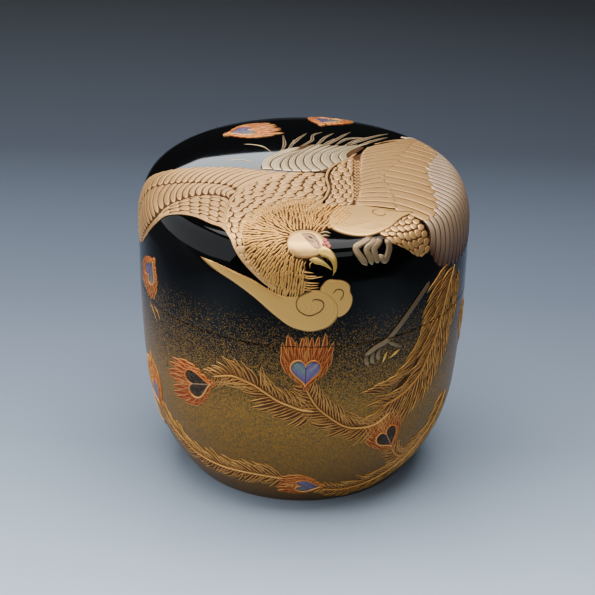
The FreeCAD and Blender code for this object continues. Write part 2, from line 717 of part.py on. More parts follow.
decorate("phoenix_head", "lid", "high_relief", head, [beak, comb])
decorate("phoenix_beak", "lid", "high_relief", beak, [comb])
decorate("phoenix_comb", "lid", "high_relief", comb)
decorate("phoenix_thigh", "lid", "high_relief", thigh)
decorate("phoenix_neck", "lid", "high_relief", neck, [head, beak, comb, thigh])
decorate("left_wing_upper", "lid", "high_relief", left_wing_upper, [neck])
decorate("left_wing_lower", "lid", "high_relief", left_wing_lower, [neck, left_wing_upper])
decorate("right_scapulars", "lid", "high_relief", right_scapulars, [neck, thigh])
decorate("right_secondaries", "lid", "low_relief", right_secondaries, [right_scapulars, thigh])
decorate("right_primaries", "lid", "low_relief", right_primaries, [right_secondaries, right_scapulars, thigh])
decorate("wing_tips", "lid", "low_relief", wing_tips, [right_primaries, belly])
decorate("back_plumes", "lid", "low_relief", back_plumes,
         [neck, left_wing_upper, right_scapulars, right_primaries])
decorate("phoenix_belly", "lid", "high_relief", belly, [thigh, right_primaries])
decorate("front_foot", "lid", "high_relief", front_foot, [thigh])
decorate("cloud", "lid", "low_relief", cloud, [neck, cloud_lobe])
decorate("cloud_lobe", "lid", "low_relief", cloud_lobe, [neck])

# The hind leg and the long tail cross from the lid to the body, and are cut at the seam.
leg = wrap_wedge(*band([round_wall(49, 45.5), round_wall(39.5, 50.8), round_wall(33.6, 54.1),
                        round_wall(29.6, 56), round_wall(25, 57.4)], [1.3, 1.2, 1.2, 1.1, 1.1]), smooth=False)
claw = wrap_wedge(*band([round_wall(25, 57.4), round_wall(22.5, 58.6), round_wall(20, 60.6)], [1.8, 2.6, 1.6]),
                  smooth=False)
trunk = wrap_wedge(*band([round_wall(66, 45), round_wall(61, 51), round_wall(56, 57.5), round_wall(50, 63.5),
                          round_wall(44, 68.5), round_wall(36, 71.5)], [3.5, 4.5, 5, 5.5, 5, 2.5]), smooth=False)
decorate("hind_leg", "lid", "high_relief", leg, [wing_tips, belly])
decorate("hind_shank", "body", "high_relief", leg, [claw])
decorate("hind_claw", "body", "high_relief", claw)
decorate("tail_root", "lid", "low_relief", trunk, [wing_tips])

# Each long feather ends in a shell heart inside a ring of flames:
# name, middle of the heart, direction of its point, width and length of the heart,
# reach, spread and number of the flames.
FEATHER_EYES = [
    ("centre", round_wall(1.7, 62.4), 90, 6.4, 6.3, 6.6, 7.2, 11),
    ("left", round_wall(-38, 69.8), -18, 6.6, 7.2, 7.2, 7.4, 11),
    ("right", round_wall(34.5, 82.2), 60, 5.6, 6.2, 6.8, 6.8, 10),
    ("lower", round_wall(4.5, 94.3), 5, 4.6, 7.0, 6.6, 5.0, 10),
    ("far_left", round_wall(-67, 80), 60, 5.4, 6.0, 6.6, 6.4, 10),
    ("back_left", round_wall(-128, 70), 40, 6.0, 6.6, 6.8, 7.0, 11),
    ("back_right", round_wall(142, 78), 150, 6.0, 6.6, 6.8, 7.0, 11),
]
# The vanes behind them: the middle line of each feather and its half widths.
FEATHER_VANES = {
    "centre": ([(1.1, 66.8), (3.5, 70.6), (6.6, 73.6), (10, 76), (15, 77.6), (21, 76.6)], [0.6, 2, 3, 3.2, 2.6, 1.2]),
    "left": ([(-19, 66.4), (-15, 65.3), (-9.8, 66.5), (-4.8, 69), (1, 71), (10, 72), (18, 72)],
             [0.8, 2, 3, 3.4, 3.4, 2.4, 1.2]),
    "right": ([(22.5, 86.4), (27, 88.4), (31, 85.6), (34, 80.5)], [0.6, 2.2, 3, 1.6]),
    "lower": ([(7, 96), (13, 96.6), (22, 95.8), (30, 92)], [0.6, 2.2, 3, 1.2]),
    "far_left": ([(-40.5, 83.4), (-34, 86.8), (-27, 91), (-18, 91.6), (-8, 91.2)], [0.6, 2.2, 3.2, 3.2, 1.2]),
    "back_left": ([(-77, 74), (-70, 80), (-60, 86), (-50, 89)], [0.8, 2.6, 3.4, 1.4]),
    "back_right": ([(83, 79.5), (75, 80), (66, 76), (57, 70)], [0.8, 2.8, 3.6, 1.6]),
}
on_the_wall = [trunk, leg, claw]
eyes = []
for name, middle, aim, wide, tall, reach, spread, tongues in FEATHER_EYES:
    eye = wrap_wedge(*heart(middle, aim, wide, tall))
    ring = wrap_wedge(*flames(middle, aim, reach, spread, tongues))
    eyes.append((name, eye, ring))
decorate("tail_trunk", "body", "low_relief", trunk, [claw] + [ring for name, eye, ring in eyes])
for index, (name, eye, ring) in enumerate(eyes):
    decorate(name + "_heart", "body", "inlay", eye)
    decorate(name + "_flames", "body", "low_relief", ring, [eye, leg])
    if name == "centre":
        decorate("centre_flame_tips", "lid", "low_relief", ring, [leg])
    vane = wrap_wedge(*band(*FEATHER_VANES[name]), smooth=False)
    others = [item for other, heart_solid, item in eyes]
    decorate(name + "_vane", "body", "low_relief", vane, on_the_wall + others)
    on_the_wall.append(vane)

# Three more such feathers end on the lid, at its back and at its left.
LID_EYES = [
    ("upper_left", round_wall(-64.5, 49.0), -60, 5.2, 6.2, 6.4, 6.0, 10),
]
for name, middle, aim, wide, tall, reach, spread, tongues in LID_EYES:
    eye = wrap_wedge(*heart(middle, aim, wide, tall))
    ring = wrap_wedge(*flames(middle, aim, reach, spread, tongues))
    decorate(name + "_heart", "lid", "inlay", eye)
    decorate(name + "_flames", "lid", "low_relief", ring, [eye, left_wing_lower])
TOP_EYES = [
    ("back_left_top", (-14.4, 18.6), 200, 6.2, 6.2, 6.4, 6.4, 10),
    ("back_middle_top", (4.5, 27.0), 250, 6.2, 6.2, 6.4, 6.8, 10),
]
for name, middle, aim, wide, tall, reach, spread, tongues in TOP_EYES:
    eye = lid_wedge(*heart(middle, aim, wide, tall))
    ring = lid_wedge(*flames(middle, aim, reach, spread, tongues))
    decorate(name + "_heart", "lid", "inlay", eye)
    decorate(name + "_flames", "lid", "low_relief", ring, [eye, back_plumes])

document.recompute()
shown = [item for item in document.Objects if item.TypeId in ("PartDesign::Body", "Part::Feature")]
for item in document.Objects:
    if "Invalid" in item.State or "Error" in item.State:
        raise RuntimeError("%s did not compute: %s" % (item.Label, item.State))
os.makedirs("parts", exist_ok=True)
for item in shown:
    if item.Shape.isNull() or not item.Shape.isValid():
        raise RuntimeError("%s has no valid shape" % item.Label)
    item.Shape.exportStep("parts/%s.step" % item.Label)
    print("%-24s %9.2f mm3  %d solid(s)" % (item.Label, item.Shape.Volume, len(item.Shape.Solids)))
print(len(shown), "sub-parts, height %.2f mm" % HEIGHT)
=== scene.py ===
# %% [markdown]
# # A lacquered tea caddy
# The caddy is a turned box with a lift-off lid. Its decoration is lacquer work: a phoenix whose
# feathers are built up in relief and covered with gold powder, and a long tail that ends in hearts
# of shell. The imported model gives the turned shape, the seam and the moving lid; this lesson lays
# the visible surfaces on it, piece by piece.

# %% Load the frame
import math

import bpy
import numpy as np
from mathutils import Matrix, Vector


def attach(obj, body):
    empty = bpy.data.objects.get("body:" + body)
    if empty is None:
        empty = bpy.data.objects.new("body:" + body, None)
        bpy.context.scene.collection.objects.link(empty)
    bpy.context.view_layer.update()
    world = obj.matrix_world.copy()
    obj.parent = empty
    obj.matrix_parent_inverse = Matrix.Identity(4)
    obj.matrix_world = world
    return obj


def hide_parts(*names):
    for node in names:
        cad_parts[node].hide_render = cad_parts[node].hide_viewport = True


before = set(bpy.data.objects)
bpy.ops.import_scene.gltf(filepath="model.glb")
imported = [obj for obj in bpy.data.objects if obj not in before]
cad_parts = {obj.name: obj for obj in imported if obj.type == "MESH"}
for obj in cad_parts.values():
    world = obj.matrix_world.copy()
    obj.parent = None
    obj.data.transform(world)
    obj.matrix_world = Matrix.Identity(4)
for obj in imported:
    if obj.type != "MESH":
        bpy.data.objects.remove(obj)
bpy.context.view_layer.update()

# %% [markdown]
# ## The turned outside
# Seen from the side the caddy is six arcs that run into each other without a corner: crown, brow,
# shoulder, the turn below it, the long side and the foot. A place on the outside is then two
# numbers: how far round, and how far down along the surface from the middle of the lid. The
# outline could also be drawn as a curve and turned with a Screw modifier. A formula was chosen
# because the decoration has to know the surface and its normal at any place, and because working
# in these two numbers keeps every feather at its true size on the curve.

# %% The arcs, and the way from two numbers to a point
MM = 0.001
ARC_RADII = np.array([190.0, 45.0, 4.2, 15.0, 295.0, 39.0])
ARC_TILTS = np.radians([0.0, 7.0, 18.5, 66.0, 89.0, 96.2, 131.0])
GIRTH = 35.79           # widest radius, mm
SEAM_HEIGHT = 44.08     # mm above the table
SEAM_GAP = 0.1
COAT = 0.3              # outer lacquer
LINING = 0.2            # inner lacquer

turns = np.diff(ARC_TILTS)
arc_starts = np.concatenate([[0.0], np.cumsum(ARC_RADII * turns)])
radius_starts = np.concatenate([[0.0], np.cumsum(ARC_RADII * np.diff(np.sin(ARC_TILTS)))])
drop_starts = np.concatenate([[0.0], np.cumsum(-ARC_RADII * np.diff(np.cos(ARC_TILTS)))])
HEIGHT = drop_starts[-1]


def profile(down, proud=0.0):
    """Radius and height of the outside, down mm along it from the middle of the lid, moved out by
    proud along the surface's normal. On an arc of radius R that starts at tilt a, the tilt grows by
    length over R, and radius and height change by R times the change of its sine and cosine."""
    arc = np.clip(np.searchsorted(arc_starts, down, side="right") - 1, 0, len(ARC_RADII) - 1)
    tilt = ARC_TILTS[arc] + (down - arc_starts[arc]) / ARC_RADII[arc]
    radius = radius_starts[arc] + ARC_RADII[arc] * (np.sin(tilt) - np.sin(ARC_TILTS[arc]))
    drop = drop_starts[arc] + ARC_RADII[arc] * (np.cos(ARC_TILTS[arc]) - np.cos(tilt))
    return radius + proud * np.sin(tilt), HEIGHT - drop + proud * np.cos(tilt)


def down_at(height):
    """How far down the surface a height is, read from a fine table of the side."""
    downs = np.linspace(arc_starts[3], arc_starts[6], 4001)
    heights = profile(downs)[1]
    return float(np.interp(-height, -heights, downs))


SEAM = down_at(SEAM_HEIGHT)


def on_wall(flat, proud):
    """Wall pattern to space: flat[..., 0] is mm round the girth from the front, towards +X, and
    flat[..., 1] is mm down the surface."""
    radius, height = profile(flat[..., 1], proud)
    round_by = flat[..., 0] / GIRTH
    return np.stack([radius * np.sin(round_by), -radius * np.cos(round_by), height], -1) * MM


def on_lid(flat, proud):
    """Lid pattern to space: flat holds mm to the right and to the back of the lid's middle,
    measured along the surface; the distance from the middle is the way down."""
    down = np.hypot(flat[..., 0], flat[..., 1])
    radius, height = profile(down, proud)
    grow = radius / np.maximum(down, 1e-9)
    return np.stack([flat[..., 0] * grow, flat[..., 1] * grow, height], -1) * MM


def wall_places(*places):
    """Degrees round and mm down become wall pattern points."""
    return np.array([(math.radians(round_by) * GIRTH, down) for round_by, down in places])


print("height %.2f mm, seam %.2f mm down the surface" % (HEIGHT, SEAM))

# %% [markdown]
# ## Making meshes from arrays
# Every shape here is a block of points with two directions. One helper turns points and faces into
# a mesh in one go, and keeps numbers on the points for the materials to read. Faces could be added
# one at a time with bmesh, but whole arrays are far quicker when a piece has a hundred thousand
# points. The sign of the volume tells whether the faces point outwards; if not, their corners are
# taken in the other order.

# %% Mesh, ride and turned shapes
def signed_volume(points, faces):
    """Sum of the tetrahedra that the faces' triangles make with the first point, times six."""
    total = 0.0
    for block in faces:
        first = points[block[:, 0]] - points[0]
        for corner in range(1, block.shape[1] - 1):
            second = points[block[:, corner]] - points[0]
            third = points[block[:, corner + 1]] - points[0]
            total += np.einsum("ij,ij->i", first, np.cross(second, third)).sum()
    return total


def make_piece(name, points, faces, material, body, replaced=(), notes=None):
    """Mesh object from points (n, 3) and blocks of faces (f, corners), wound to point outwards.
    notes are numbers kept on the points under their own names."""
    faces = [block for block in faces if len(block)]
    if signed_volume(points, faces) < 0:
        faces = [block[:, ::-1] for block in faces]
    mesh = bpy.data.meshes.new(name)
    mesh.vertices.add(len(points))
    mesh.vertices.foreach_set("co", points.astype(np.float32).ravel())
    totals = np.concatenate([np.full(len(block), block.shape[1]) for block in faces])
    loops = np.concatenate([block.ravel() for block in faces])
    mesh.loops.add(len(loops))
    mesh.loops.foreach_set("vertex_index", loops.astype(np.int32))
    mesh.polygons.add(len(totals))
    mesh.polygons.foreach_set("loop_start", (np.cumsum(totals) - totals).astype(np.int32))
    mesh.polygons.foreach_set("use_smooth", np.ones(len(totals), dtype=bool))
    for note, values in (notes or {}).items():
        layer = mesh.attributes.new(note, "FLOAT", "POINT")
        layer.data.foreach_set("value", values.astype(np.float32).ravel())
    mesh.update()
    mesh.validate()
    piece = bpy.data.objects.new(name, mesh)
    bpy.context.scene.collection.objects.link(piece)
    mesh.materials.append(material)
    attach(piece, body)
    if replaced:
        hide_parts(*replaced)
    print("%-24s %7d points on %s" % (name, len(points), body))
    return piece


# %% [markdown]
# A grid of points gets its faces by taking the index of each point, of its right neighbour and of
# the two below. A turned shape is such a grid whose columns go round the axis.

# %% Grids and turned shapes
def grid_quads(rows, columns, wrap=False):
    """Quads of a grid of points, row by row; wrap joins the last column to the first."""
    index = np.arange(rows * columns).reshape(rows, columns)
    right = np.roll(index, -1, axis=1)
    stop = columns if wrap else columns - 1
    corners = [index[:-1, :stop], right[:-1, :stop], right[1:, :stop], index[1:, :stop]]
    return np.stack(corners, -1).reshape(-1, 4)


def turned(name, outline, material, body, replaced, around=288):
    """Surface of revolution: the outline's (radius, height) points in mm are carried round the
    axis. An outline that starts and ends on the axis gets one point and a fan at each end, and any
    other is joined end to start."""
    outline = np.asarray(outline, float)
    on_axis = outline[0, 0] < 1e-6
    rings = outline[1:-1] if on_axis else outline
    angle = np.linspace(0.0, 2 * np.pi, around, endpoint=False)
    points = np.stack([rings[:, :1] * np.sin(angle), -rings[:, :1] * np.cos(angle),
                       np.broadcast_to(rings[:, 1:], (len(rings), around))], -1).reshape(-1, 3)
    faces = [grid_quads(len(rings), around, wrap=True)]
    first = np.arange(around)
    last = first + (len(rings) - 1) * around
    if on_axis:
        poles = len(points) + np.array([0, 1])
        points = np.vstack([points, [0, 0, outline[0, 1]], [0, 0, outline[-1, 1]]])
        faces.append(np.stack([np.full(around, poles[0]), np.roll(first, -1), first], -1))
        faces.append(np.stack([np.full(around, poles[1]), last, np.roll(last, -1)], -1))
    else:
        faces.append(np.stack([last, np.roll(last, -1), np.roll(first, -1), first], -1))
    return make_piece(name, points * MM, faces, material, body, replaced)


# %% [markdown]
# ## Shader sums as plain expressions
# A finish is worked out from masks: where the gold lies, where a line sinks. Drawing these sums as
# nodes one by one is long to read, so a small class wraps a socket and lets a mask be written as
# `1 - mask * 2`; each operator adds one Math node. Any other node comes from the one method
# `node`, which sets the node up first and fills its sockets after.

# %% A small class for shader values
class Shade:
    """A socket of a material, with arithmetic."""

    def __init__(self, tree, socket=None):
        self.tree = tree
        self.socket = socket

    def node(self, kind, inputs=None, output=0, stops=None, **settings):
        """A new node: its settings and ramp stops first, then values or links for its sockets."""
        made = self.tree.nodes.new(kind)
        for key, value in settings.items():
            setattr(made, key, value)
        if stops:
            ramp = made.color_ramp
            while len(ramp.elements) < len(stops):
                ramp.elements.new(0.5)
            for element, (place, colour) in zip(ramp.elements, stops):
                element.position = place
                element.color = (*colour, 1.0)
        for key, value in (inputs or {}).items():
            if isinstance(value, Shade):
                self.tree.links.new(value.socket, made.inputs[key])
            else:
                made.inputs[key].default_value = value
        return Shade(self.tree, made.outputs[output])

    def maths(self, operation, *values):
        """A Math node of the given operation on values."""
        return self.node("ShaderNodeMath", dict(enumerate(values)), operation=operation)

    def __add__(self, other):
        return self.maths("ADD", self, other)

    def __mul__(self, other):
        return self.maths("MULTIPLY", self, other)

    def __sub__(self, other):
        return self.maths("SUBTRACT", self, other)

    def __rsub__(self, other):
        return self.maths("SUBTRACT", other, self)

    __radd__ = __add__
    __rmul__ = __mul__

    def clipped(self, low, high):
        """0 at low, 1 at high, straight between and held outside."""
        inputs = {0: self, 1: low, 2: high, 3: 0.0, 4: 1.0}
        return self.node("ShaderNodeMapRange", inputs)

    def blend(self, first, second):
        """Colour first where this value is 0 and second where it is 1."""
        inputs = {0: self, 6: first, 7: second}
        return self.node("ShaderNodeMix", inputs, output=2, data_type="RGBA")


# %% [markdown]
# Four small helpers start a finish, feed its surface shader and dim a colour. Colours go through
# Mix nodes, because a Math node would turn them grey.

# %% Finish helpers
def rgb(red, green, blue):
    """A colour socket's value, fully opaque."""
    return (red, green, blue, 1.0)


def new_finish(name):
    """An empty material: its builder and its surface shader."""
    print("finish:", name)
    material = bpy.data.materials.new(name)
    material.use_nodes = True
    tree = material.node_tree
    shader = tree.nodes["Principled BSDF"]
    return material, Shade(tree), shader


def feed(build, shader, **sockets):
    """Sets or links the shader's sockets; underscores in the names stand for spaces."""
    for key, value in sockets.items():
        socket = shader.inputs[key.replace("_", " ")]
        if isinstance(value, Shade):
            build.tree.links.new(value.socket, socket)
        else:
            socket.default_value = value


def dimmed(build, colour, share):
    """A colour times a share between 0 and 1."""
    grey = build.node("ShaderNodeCombineXYZ", {0: share, 1: share, 2: share})
    inputs = {0: 1.0, 6: colour, 7: grey}
    return build.node("ShaderNodeMix", inputs, output=2, data_type="RGBA", blend_type="MULTIPLY")


# %% [markdown]
# ## Black lacquer that turns to gold
# Polished lacquer is black and mirror-smooth. Towards the foot the maker dusted gold powder into
# it, first a few grains, then more, until the ground is solid olive gold. The grains could be
# modelled, but there are far too many, and a smooth mix of black and gold would look like paint.
# So every cell of a very fine cell pattern gets a chance number, and it is gold where that number
# is below a threshold that falls with height.

# %% Lacquer finishes
def dusted_lacquer(name, dusted):
    """Black gloss; where dusted, gold grains that grow dense from the shoulder to the foot, their
    gold painted darker near the foot as painted shade.
    """
    material, build, shader = new_finish(name)
    place = build.node("ShaderNodeTexCoord", output=3)
    if not dusted:
        haze = build.node("ShaderNodeTexNoise", {0: place, 2: 900.0, 3: 3.0})
        feed(build, shader, Base_Color=rgb(0.006, 0.006, 0.007), Roughness=haze * 0.05 + 0.07)
        shader.inputs["Specular IOR Level"].default_value = 0.4
        return material
    height = build.node("ShaderNodeSeparateXYZ", {0: place}, output=2)
    grains = build.node("ShaderNodeTexVoronoi", {0: place, 2: 7000.0}, output=1)
    grain = build.node("ShaderNodeSeparateColor", {0: grains}, output=0)
    clouds = build.node("ShaderNodeTexNoise", {0: place, 2: 60.0, 3: 3.0})
    level = height + (clouds - 0.5) * 0.004
    dense = 1 - level.clipped(0.018, 0.0535)
    spread = build.maths("POWER", dense, 1.35)
    gold = (spread * 1.6 - grain).clipped(0.0, 0.06)
    powder = build.node("ShaderNodeTexNoise", {0: place, 2: 2600.0, 3: 2.0})
    # Painted shade: the gold darkens from 26 mm above the table down to 2 mm.
    foot_shaded_gold = (1 - level.clipped(0.002, 0.026)).blend(rgb(0.40, 0.185, 0.022), rgb(0.24, 0.09, 0.012))
    shiny = powder.clipped(0.35, 0.7).blend(rgb(0.12, 0.08, 0.03), foot_shaded_gold)
    colour = gold.blend(rgb(0.002, 0.002, 0.0022), shiny)
    bump = build.node("ShaderNodeBump", {"Strength": 0.12, "Distance": 0.00002, "Height": grain * gold})
    feed(build, shader, Base_Color=colour, Metallic=gold * 0.4, Roughness=gold * 0.3 + 0.04, Normal=bump)
    shader.inputs["Specular IOR Level"].default_value = 0.16
    return material


outer_lacquer = dusted_lacquer("dusted black lacquer", True)
plain_lacquer = dusted_lacquer("plain black lacquer", False)

# %% [markdown]
# ## The turned coats
# Lid, body, foot and both linings are surfaces of revolution, each a thin closed shell over the
# turned wood. Their edges at the seam are rounded by a few hundredths of a millimetre, as
# polishing leaves them, so that the seam draws one fine dark line. A Bevel modifier could round
# them too, but here the rounding is a few more points in the outline.

# %% The lid's and the body's outer coats
BODY_WALL = 3.25
LID_WALL = 2.0
RIM_HEIGHT = 6.0
RIM_CLEARANCE = 0.06
FLOOR = 3.6
EDGE_ROUND = 0.08


def stretch(start, finish, depth, count):
    """Profile points between two ways down, depth mm inside the outside."""
    return np.stack(profile(np.linspace(start, finish, count), -depth), -1)


lid_stop = down_at(SEAM_HEIGHT + 0.5 * SEAM_GAP)
body_start = down_at(SEAM_HEIGHT - 0.5 * SEAM_GAP)
foot_down = arc_starts[-1]
lid_downs = np.unique(np.concatenate([np.linspace(0, lid_stop - EDGE_ROUND, 90),
                                      np.linspace(arc_starts[2], arc_starts[4], 40)]))
lid_outer = np.stack(profile(lid_downs), -1)
lid_edge = np.stack(profile(np.array([lid_stop - 0.02, lid_stop]), np.array([-0.02, -EDGE_ROUND])), -1)
lid_inner = np.stack(profile(np.append(lid_downs[:-1], lid_stop)[::-1], -COAT), -1)
lid_outline = np.vstack([lid_outer, lid_edge, lid_inner])
lid_outline[[0, -1], 0] = 0.0
turned("lid_coat", lid_outline, outer_lacquer, "lid", ["lid_lacquer"])

base_start = down_at(COAT)
body_edge = np.stack(profile(np.array([body_start, body_start + 0.02]), np.array([-EDGE_ROUND, -0.02])), -1)
body_outer = stretch(body_start + EDGE_ROUND, base_start, 0.0, 90)
body_inner = stretch(base_start, body_start, COAT, 60)
turned("body_coat", np.vstack([body_edge, body_outer, body_inner]), outer_lacquer, "caddy",
       ["body_lacquer"])

# %% [markdown]
# The foot is a ring round a shallow recess. The body's lining covers the hollow, goes over the rim
# and comes down to the ledge that the lid stands on; the lid's lining follows the lid's hollow.
# Each is an outline that goes along one face and back along the other, so the shell is closed.

# %% The foot and the two linings
recess_radius, recess_depth = 21.5, 0.8
sole = stretch(foot_down, base_start, 0.0, 4)
ring_round = np.array([[0.0, 0.25], [0.08, 0.08], [0.25, 0.0]]) + [recess_radius, 0.0]
base_outline = np.vstack([[[0, recess_depth], [recess_radius - 0.3, recess_depth],
                           [recess_radius, recess_depth - 0.1]],
                          ring_round, sole, [[recess_radius + COAT, COAT],
                          [recess_radius + COAT, recess_depth + COAT], [0, recess_depth + COAT]]])
turned("foot_coat", base_outline, outer_lacquer, "caddy", ["base_lacquer"])

rim_outer = GIRTH - LID_WALL - RIM_CLEARANCE
ledge = SEAM_HEIGHT - 0.5 * SEAM_GAP
rim_top = ledge + RIM_HEIGHT
wall_bottom = down_at(8.5)


def inner_curve(depth, floor, count=60):
    """The hollow's outline from the axis out along the floor, round its corner and up to the rim."""
    radius, height = profile(np.linspace(wall_bottom, down_at(rim_top), count), -depth)
    start = np.array([radius[0], height[0]])
    corner = np.linspace(0.0, 1.0, 12)[1:-1, None]
    heel = np.array([start[0] - 2.2, floor])
    flat = np.array([start[0] - 8.0, floor])
    bend = (1 - corner) ** 2 * flat + 2 * corner * (1 - corner) * heel + corner ** 2 * start
    return np.vstack([[[0.0, floor]], [flat], bend, np.stack([radius, height], -1)])


hollow = inner_curve(BODY_WALL, FLOOR)
hollow[-1] = [hollow[-1, 0], rim_top - 0.05]
lip = [[hollow[-1, 0] + 0.06, rim_top], [rim_outer - 0.06, rim_top], [rim_outer, rim_top - 0.06],
       [rim_outer, ledge], [profile(np.array(body_start), -COAT)[0], ledge]]
lip_back = [[lip[-1][0], ledge - LINING], [rim_outer - LINING, ledge - LINING],
            [rim_outer - LINING, rim_top - LINING]]
behind = inner_curve(BODY_WALL - LINING, FLOOR - LINING)[::-1]
behind[0, 1] = rim_top - LINING
turned("body_lining_coat", np.vstack([hollow, lip, lip_back, behind]), plain_lacquer, "caddy",
       ["body_lining"])

widest_down = down_at(53.24)


def lid_inside(depth, count=80):
    """The lid's hollow from the axis down to the widest place and straight on to the edge."""
    radius, height = profile(np.linspace(0.0, widest_down, count), -depth)
    curve = np.stack([radius, height], -1)
    curve[0, 0] = 0.0
    return np.vstack([curve, [[GIRTH - depth, SEAM_HEIGHT + 0.5 * SEAM_GAP]]])


lining_outline = np.vstack([lid_inside(LID_WALL - LINING), lid_inside(LID_WALL)[::-1]])
turned("lid_lining_coat", lining_outline, plain_lacquer, "lid_seat", ["lid_lining"])

# %% [markdown]
# ## Raised lines, leaves and pads
# Almost everything in the decoration is one kind of shape: a ridge that follows a path on the
# lacquer. A hair is a narrow round ridge, a barb is a leaf with raised edges, and a feather is a
# wide flat one. Blender's curves with a bevel can make ridges as well, but they know nothing of
# the surface under them. So one function carries a small cross-section along many paths at once,
# in the two numbers of the surface. The paths come first: smooth lines through a few places.

# %% Ridges along paths
SINK = 0.03
# Cross-sections: place across (-1 to 1), height (0 to 1) and tone (0 in the lines, 1 on the gold).
PAD = np.array([(-1, 0, 0.0), (-0.95, 0.65, 0.5), (-0.86, 0.92, 1), (-0.4, 1, 1), (0.4, 1, 1),
                (0.86, 0.92, 1), (0.95, 0.65, 0.5), (1, 0, 0.0)])
LEAF = np.array([(-1, 0, 0.7), (-0.78, 1, 1), (-0.5, 0.65, 0.15), (0, 0.5, 0.0), (0.5, 0.65, 0.15),
                 (0.78, 1, 1), (1, 0, 0.7)])
HAIR = np.array([(-1, 0, 0.2), (-0.6, 0.75, 0.9), (0, 1, 1), (0.6, 0.75, 0.9), (1, 0, 0.2)])
CHARTS = {"lid": on_lid, "wall": on_wall}
draws = np.random.default_rng(7)


def smooth_path(places, count):
    """A smooth line through places, as count points at even steps of length: a cubic through each
    pair of places whose slopes come from their neighbours (Catmull-Rom)."""
    places = np.asarray(places, float)
    padded = np.vstack([2 * places[0] - places[1], places, 2 * places[-1] - places[-2]])
    step = np.linspace(0, 1, 17)[:-1, None]
    fine = []
    for start in range(len(places) - 1):
        before, here, there, after = padded[start:start + 4]
        fine.append(0.5 * (2 * here + (there - before) * step
                           + (2 * before - 5 * here + 4 * there - after) * step ** 2
                           + (3 * here - before - 3 * there + after) * step ** 3))
    fine = np.vstack(fine + [places[-1:]])
    length = np.concatenate([[0], np.cumsum(np.hypot(*np.diff(fine, axis=0).T))])
    even = np.linspace(0, length[-1], count)
    return np.stack([np.interp(even, length, fine[:, axis]) for axis in (0, 1)], -1)


def slopes(paths):
    """Unit directions along paths (..., m, 2)."""
    ways = np.gradient(paths, axis=-2)
    return ways / np.maximum(np.hypot(ways[..., :1], ways[..., 1:]), 1e-9)


def sideways(ways):
    """Each direction turned a quarter to its left."""
    return np.stack([-ways[..., 1], ways[..., 0]], -1)


# %% [markdown]
# A ridge is its cross-section repeated at every step of the path, then bent onto the lacquer by
# the pattern's own formula. It is a closed tube whose underside is sunk a little into the lacquer,
# so there is never a gap. Each ridge also gets a tone, the way along it and a chance number, which
# the finishes read.

# %% From paths to closed ridges
def tube_block(middles, halves, rise, section, chart, base=0.0):
    """Points and faces of ridges: middles (n, m, 2), halves (n, m, 2) from the middle to the edge,
    rise (n, m). Point k of the section lies at middle + across * half, base + height * rise above
    the lacquer. Returns points, faces and the numbers kept on the points."""
    number, steps = middles.shape[:2]
    turn = np.sign((slopes(middles) * -sideways(halves)).sum(-1).mean(-1))
    halves = halves * np.where(turn == 0, 1, turn)[:, None, None]
    across, height, tone = section.T
    flat = middles[:, :, None, :] + across[:, None] * halves[:, :, None, :]
    edge = np.where(np.abs(across) >= 1, -SINK, 0.0)
    base = np.broadcast_to(np.asarray(base, float), (number, steps)) if np.ndim(base) < 3 else base
    proud = np.where(np.abs(across) >= 1, 0.0, base[:, :, None]) + height * rise[:, :, None] + edge
    points = CHARTS[chart](flat, proud).reshape(-1, 3)
    count = len(section)
    one = grid_quads(steps, count, wrap=True)
    shift = np.arange(number)[:, None] * steps * count
    quads = (one[None] + shift[:, :, None]).reshape(-1, 4)
    ring = np.arange(count)
    caps = np.vstack([ring[::-1] + shift, ring + shift + (steps - 1) * count])
    shape = (number, steps, count)
    along = np.broadcast_to(np.linspace(0, 1, steps)[None, :, None], shape)
    chance = np.broadcast_to(draws.random(number)[:, None, None], shape)
    notes = {"tone": np.broadcast_to(tone, shape), "run": along, "chance": chance}
    return points, quads, caps, {key: value.reshape(-1) for key, value in notes.items()}, flat.reshape(-1, 2)


def join_blocks(blocks):
    """Several blocks of ridges as one set of points and faces, quads and caps grouped by corners."""
    points, faces, notes, flats, start = [], {}, {}, [], 0
    for block_points, quads, caps, block_notes, flat in blocks:
        points.append(block_points)
        flats.append(flat)
        for group in (quads, caps):
            faces.setdefault(group.shape[1], []).append(group + start)
        for key, value in block_notes.items():
            notes.setdefault(key, []).append(value)
        start += len(block_points)
    return (np.vstack(points), [np.vstack(group) for group in faces.values()],
            {key: np.concatenate(value) for key, value in notes.items()}, np.vstack(flats))


def relief(name, blocks, material, body, replaced=()):
    """Joins blocks of ridges into one piece of the decoration."""
    points, faces, notes, flat = join_blocks(blocks)
    return make_piece(name, points, faces, material, body, replaced, notes)


# %% [markdown]
# A leaf's direction turns evenly from its root to its tip, so its path is a running sum of
# directions. A single line keeps its width and only closes at its ends.

# %% Leaves and single lines
def swell(count, start=0.5, finish=1.0, blunt=0.25):
    """Width along a leaf: grows from 0 at the start over a share of the length, and closes to a
    point over the rest; a power below 1 makes it blunter."""
    along = np.linspace(0, 1, count)
    opening = np.clip(along / start, 0, 1)
    closing = np.clip((1 - along) / max(finish - start, 1e-6), 0, 1)
    return (np.minimum(opening, closing) + 1e-3) ** blunt * np.clip(closing * 6, 0.02, 1)


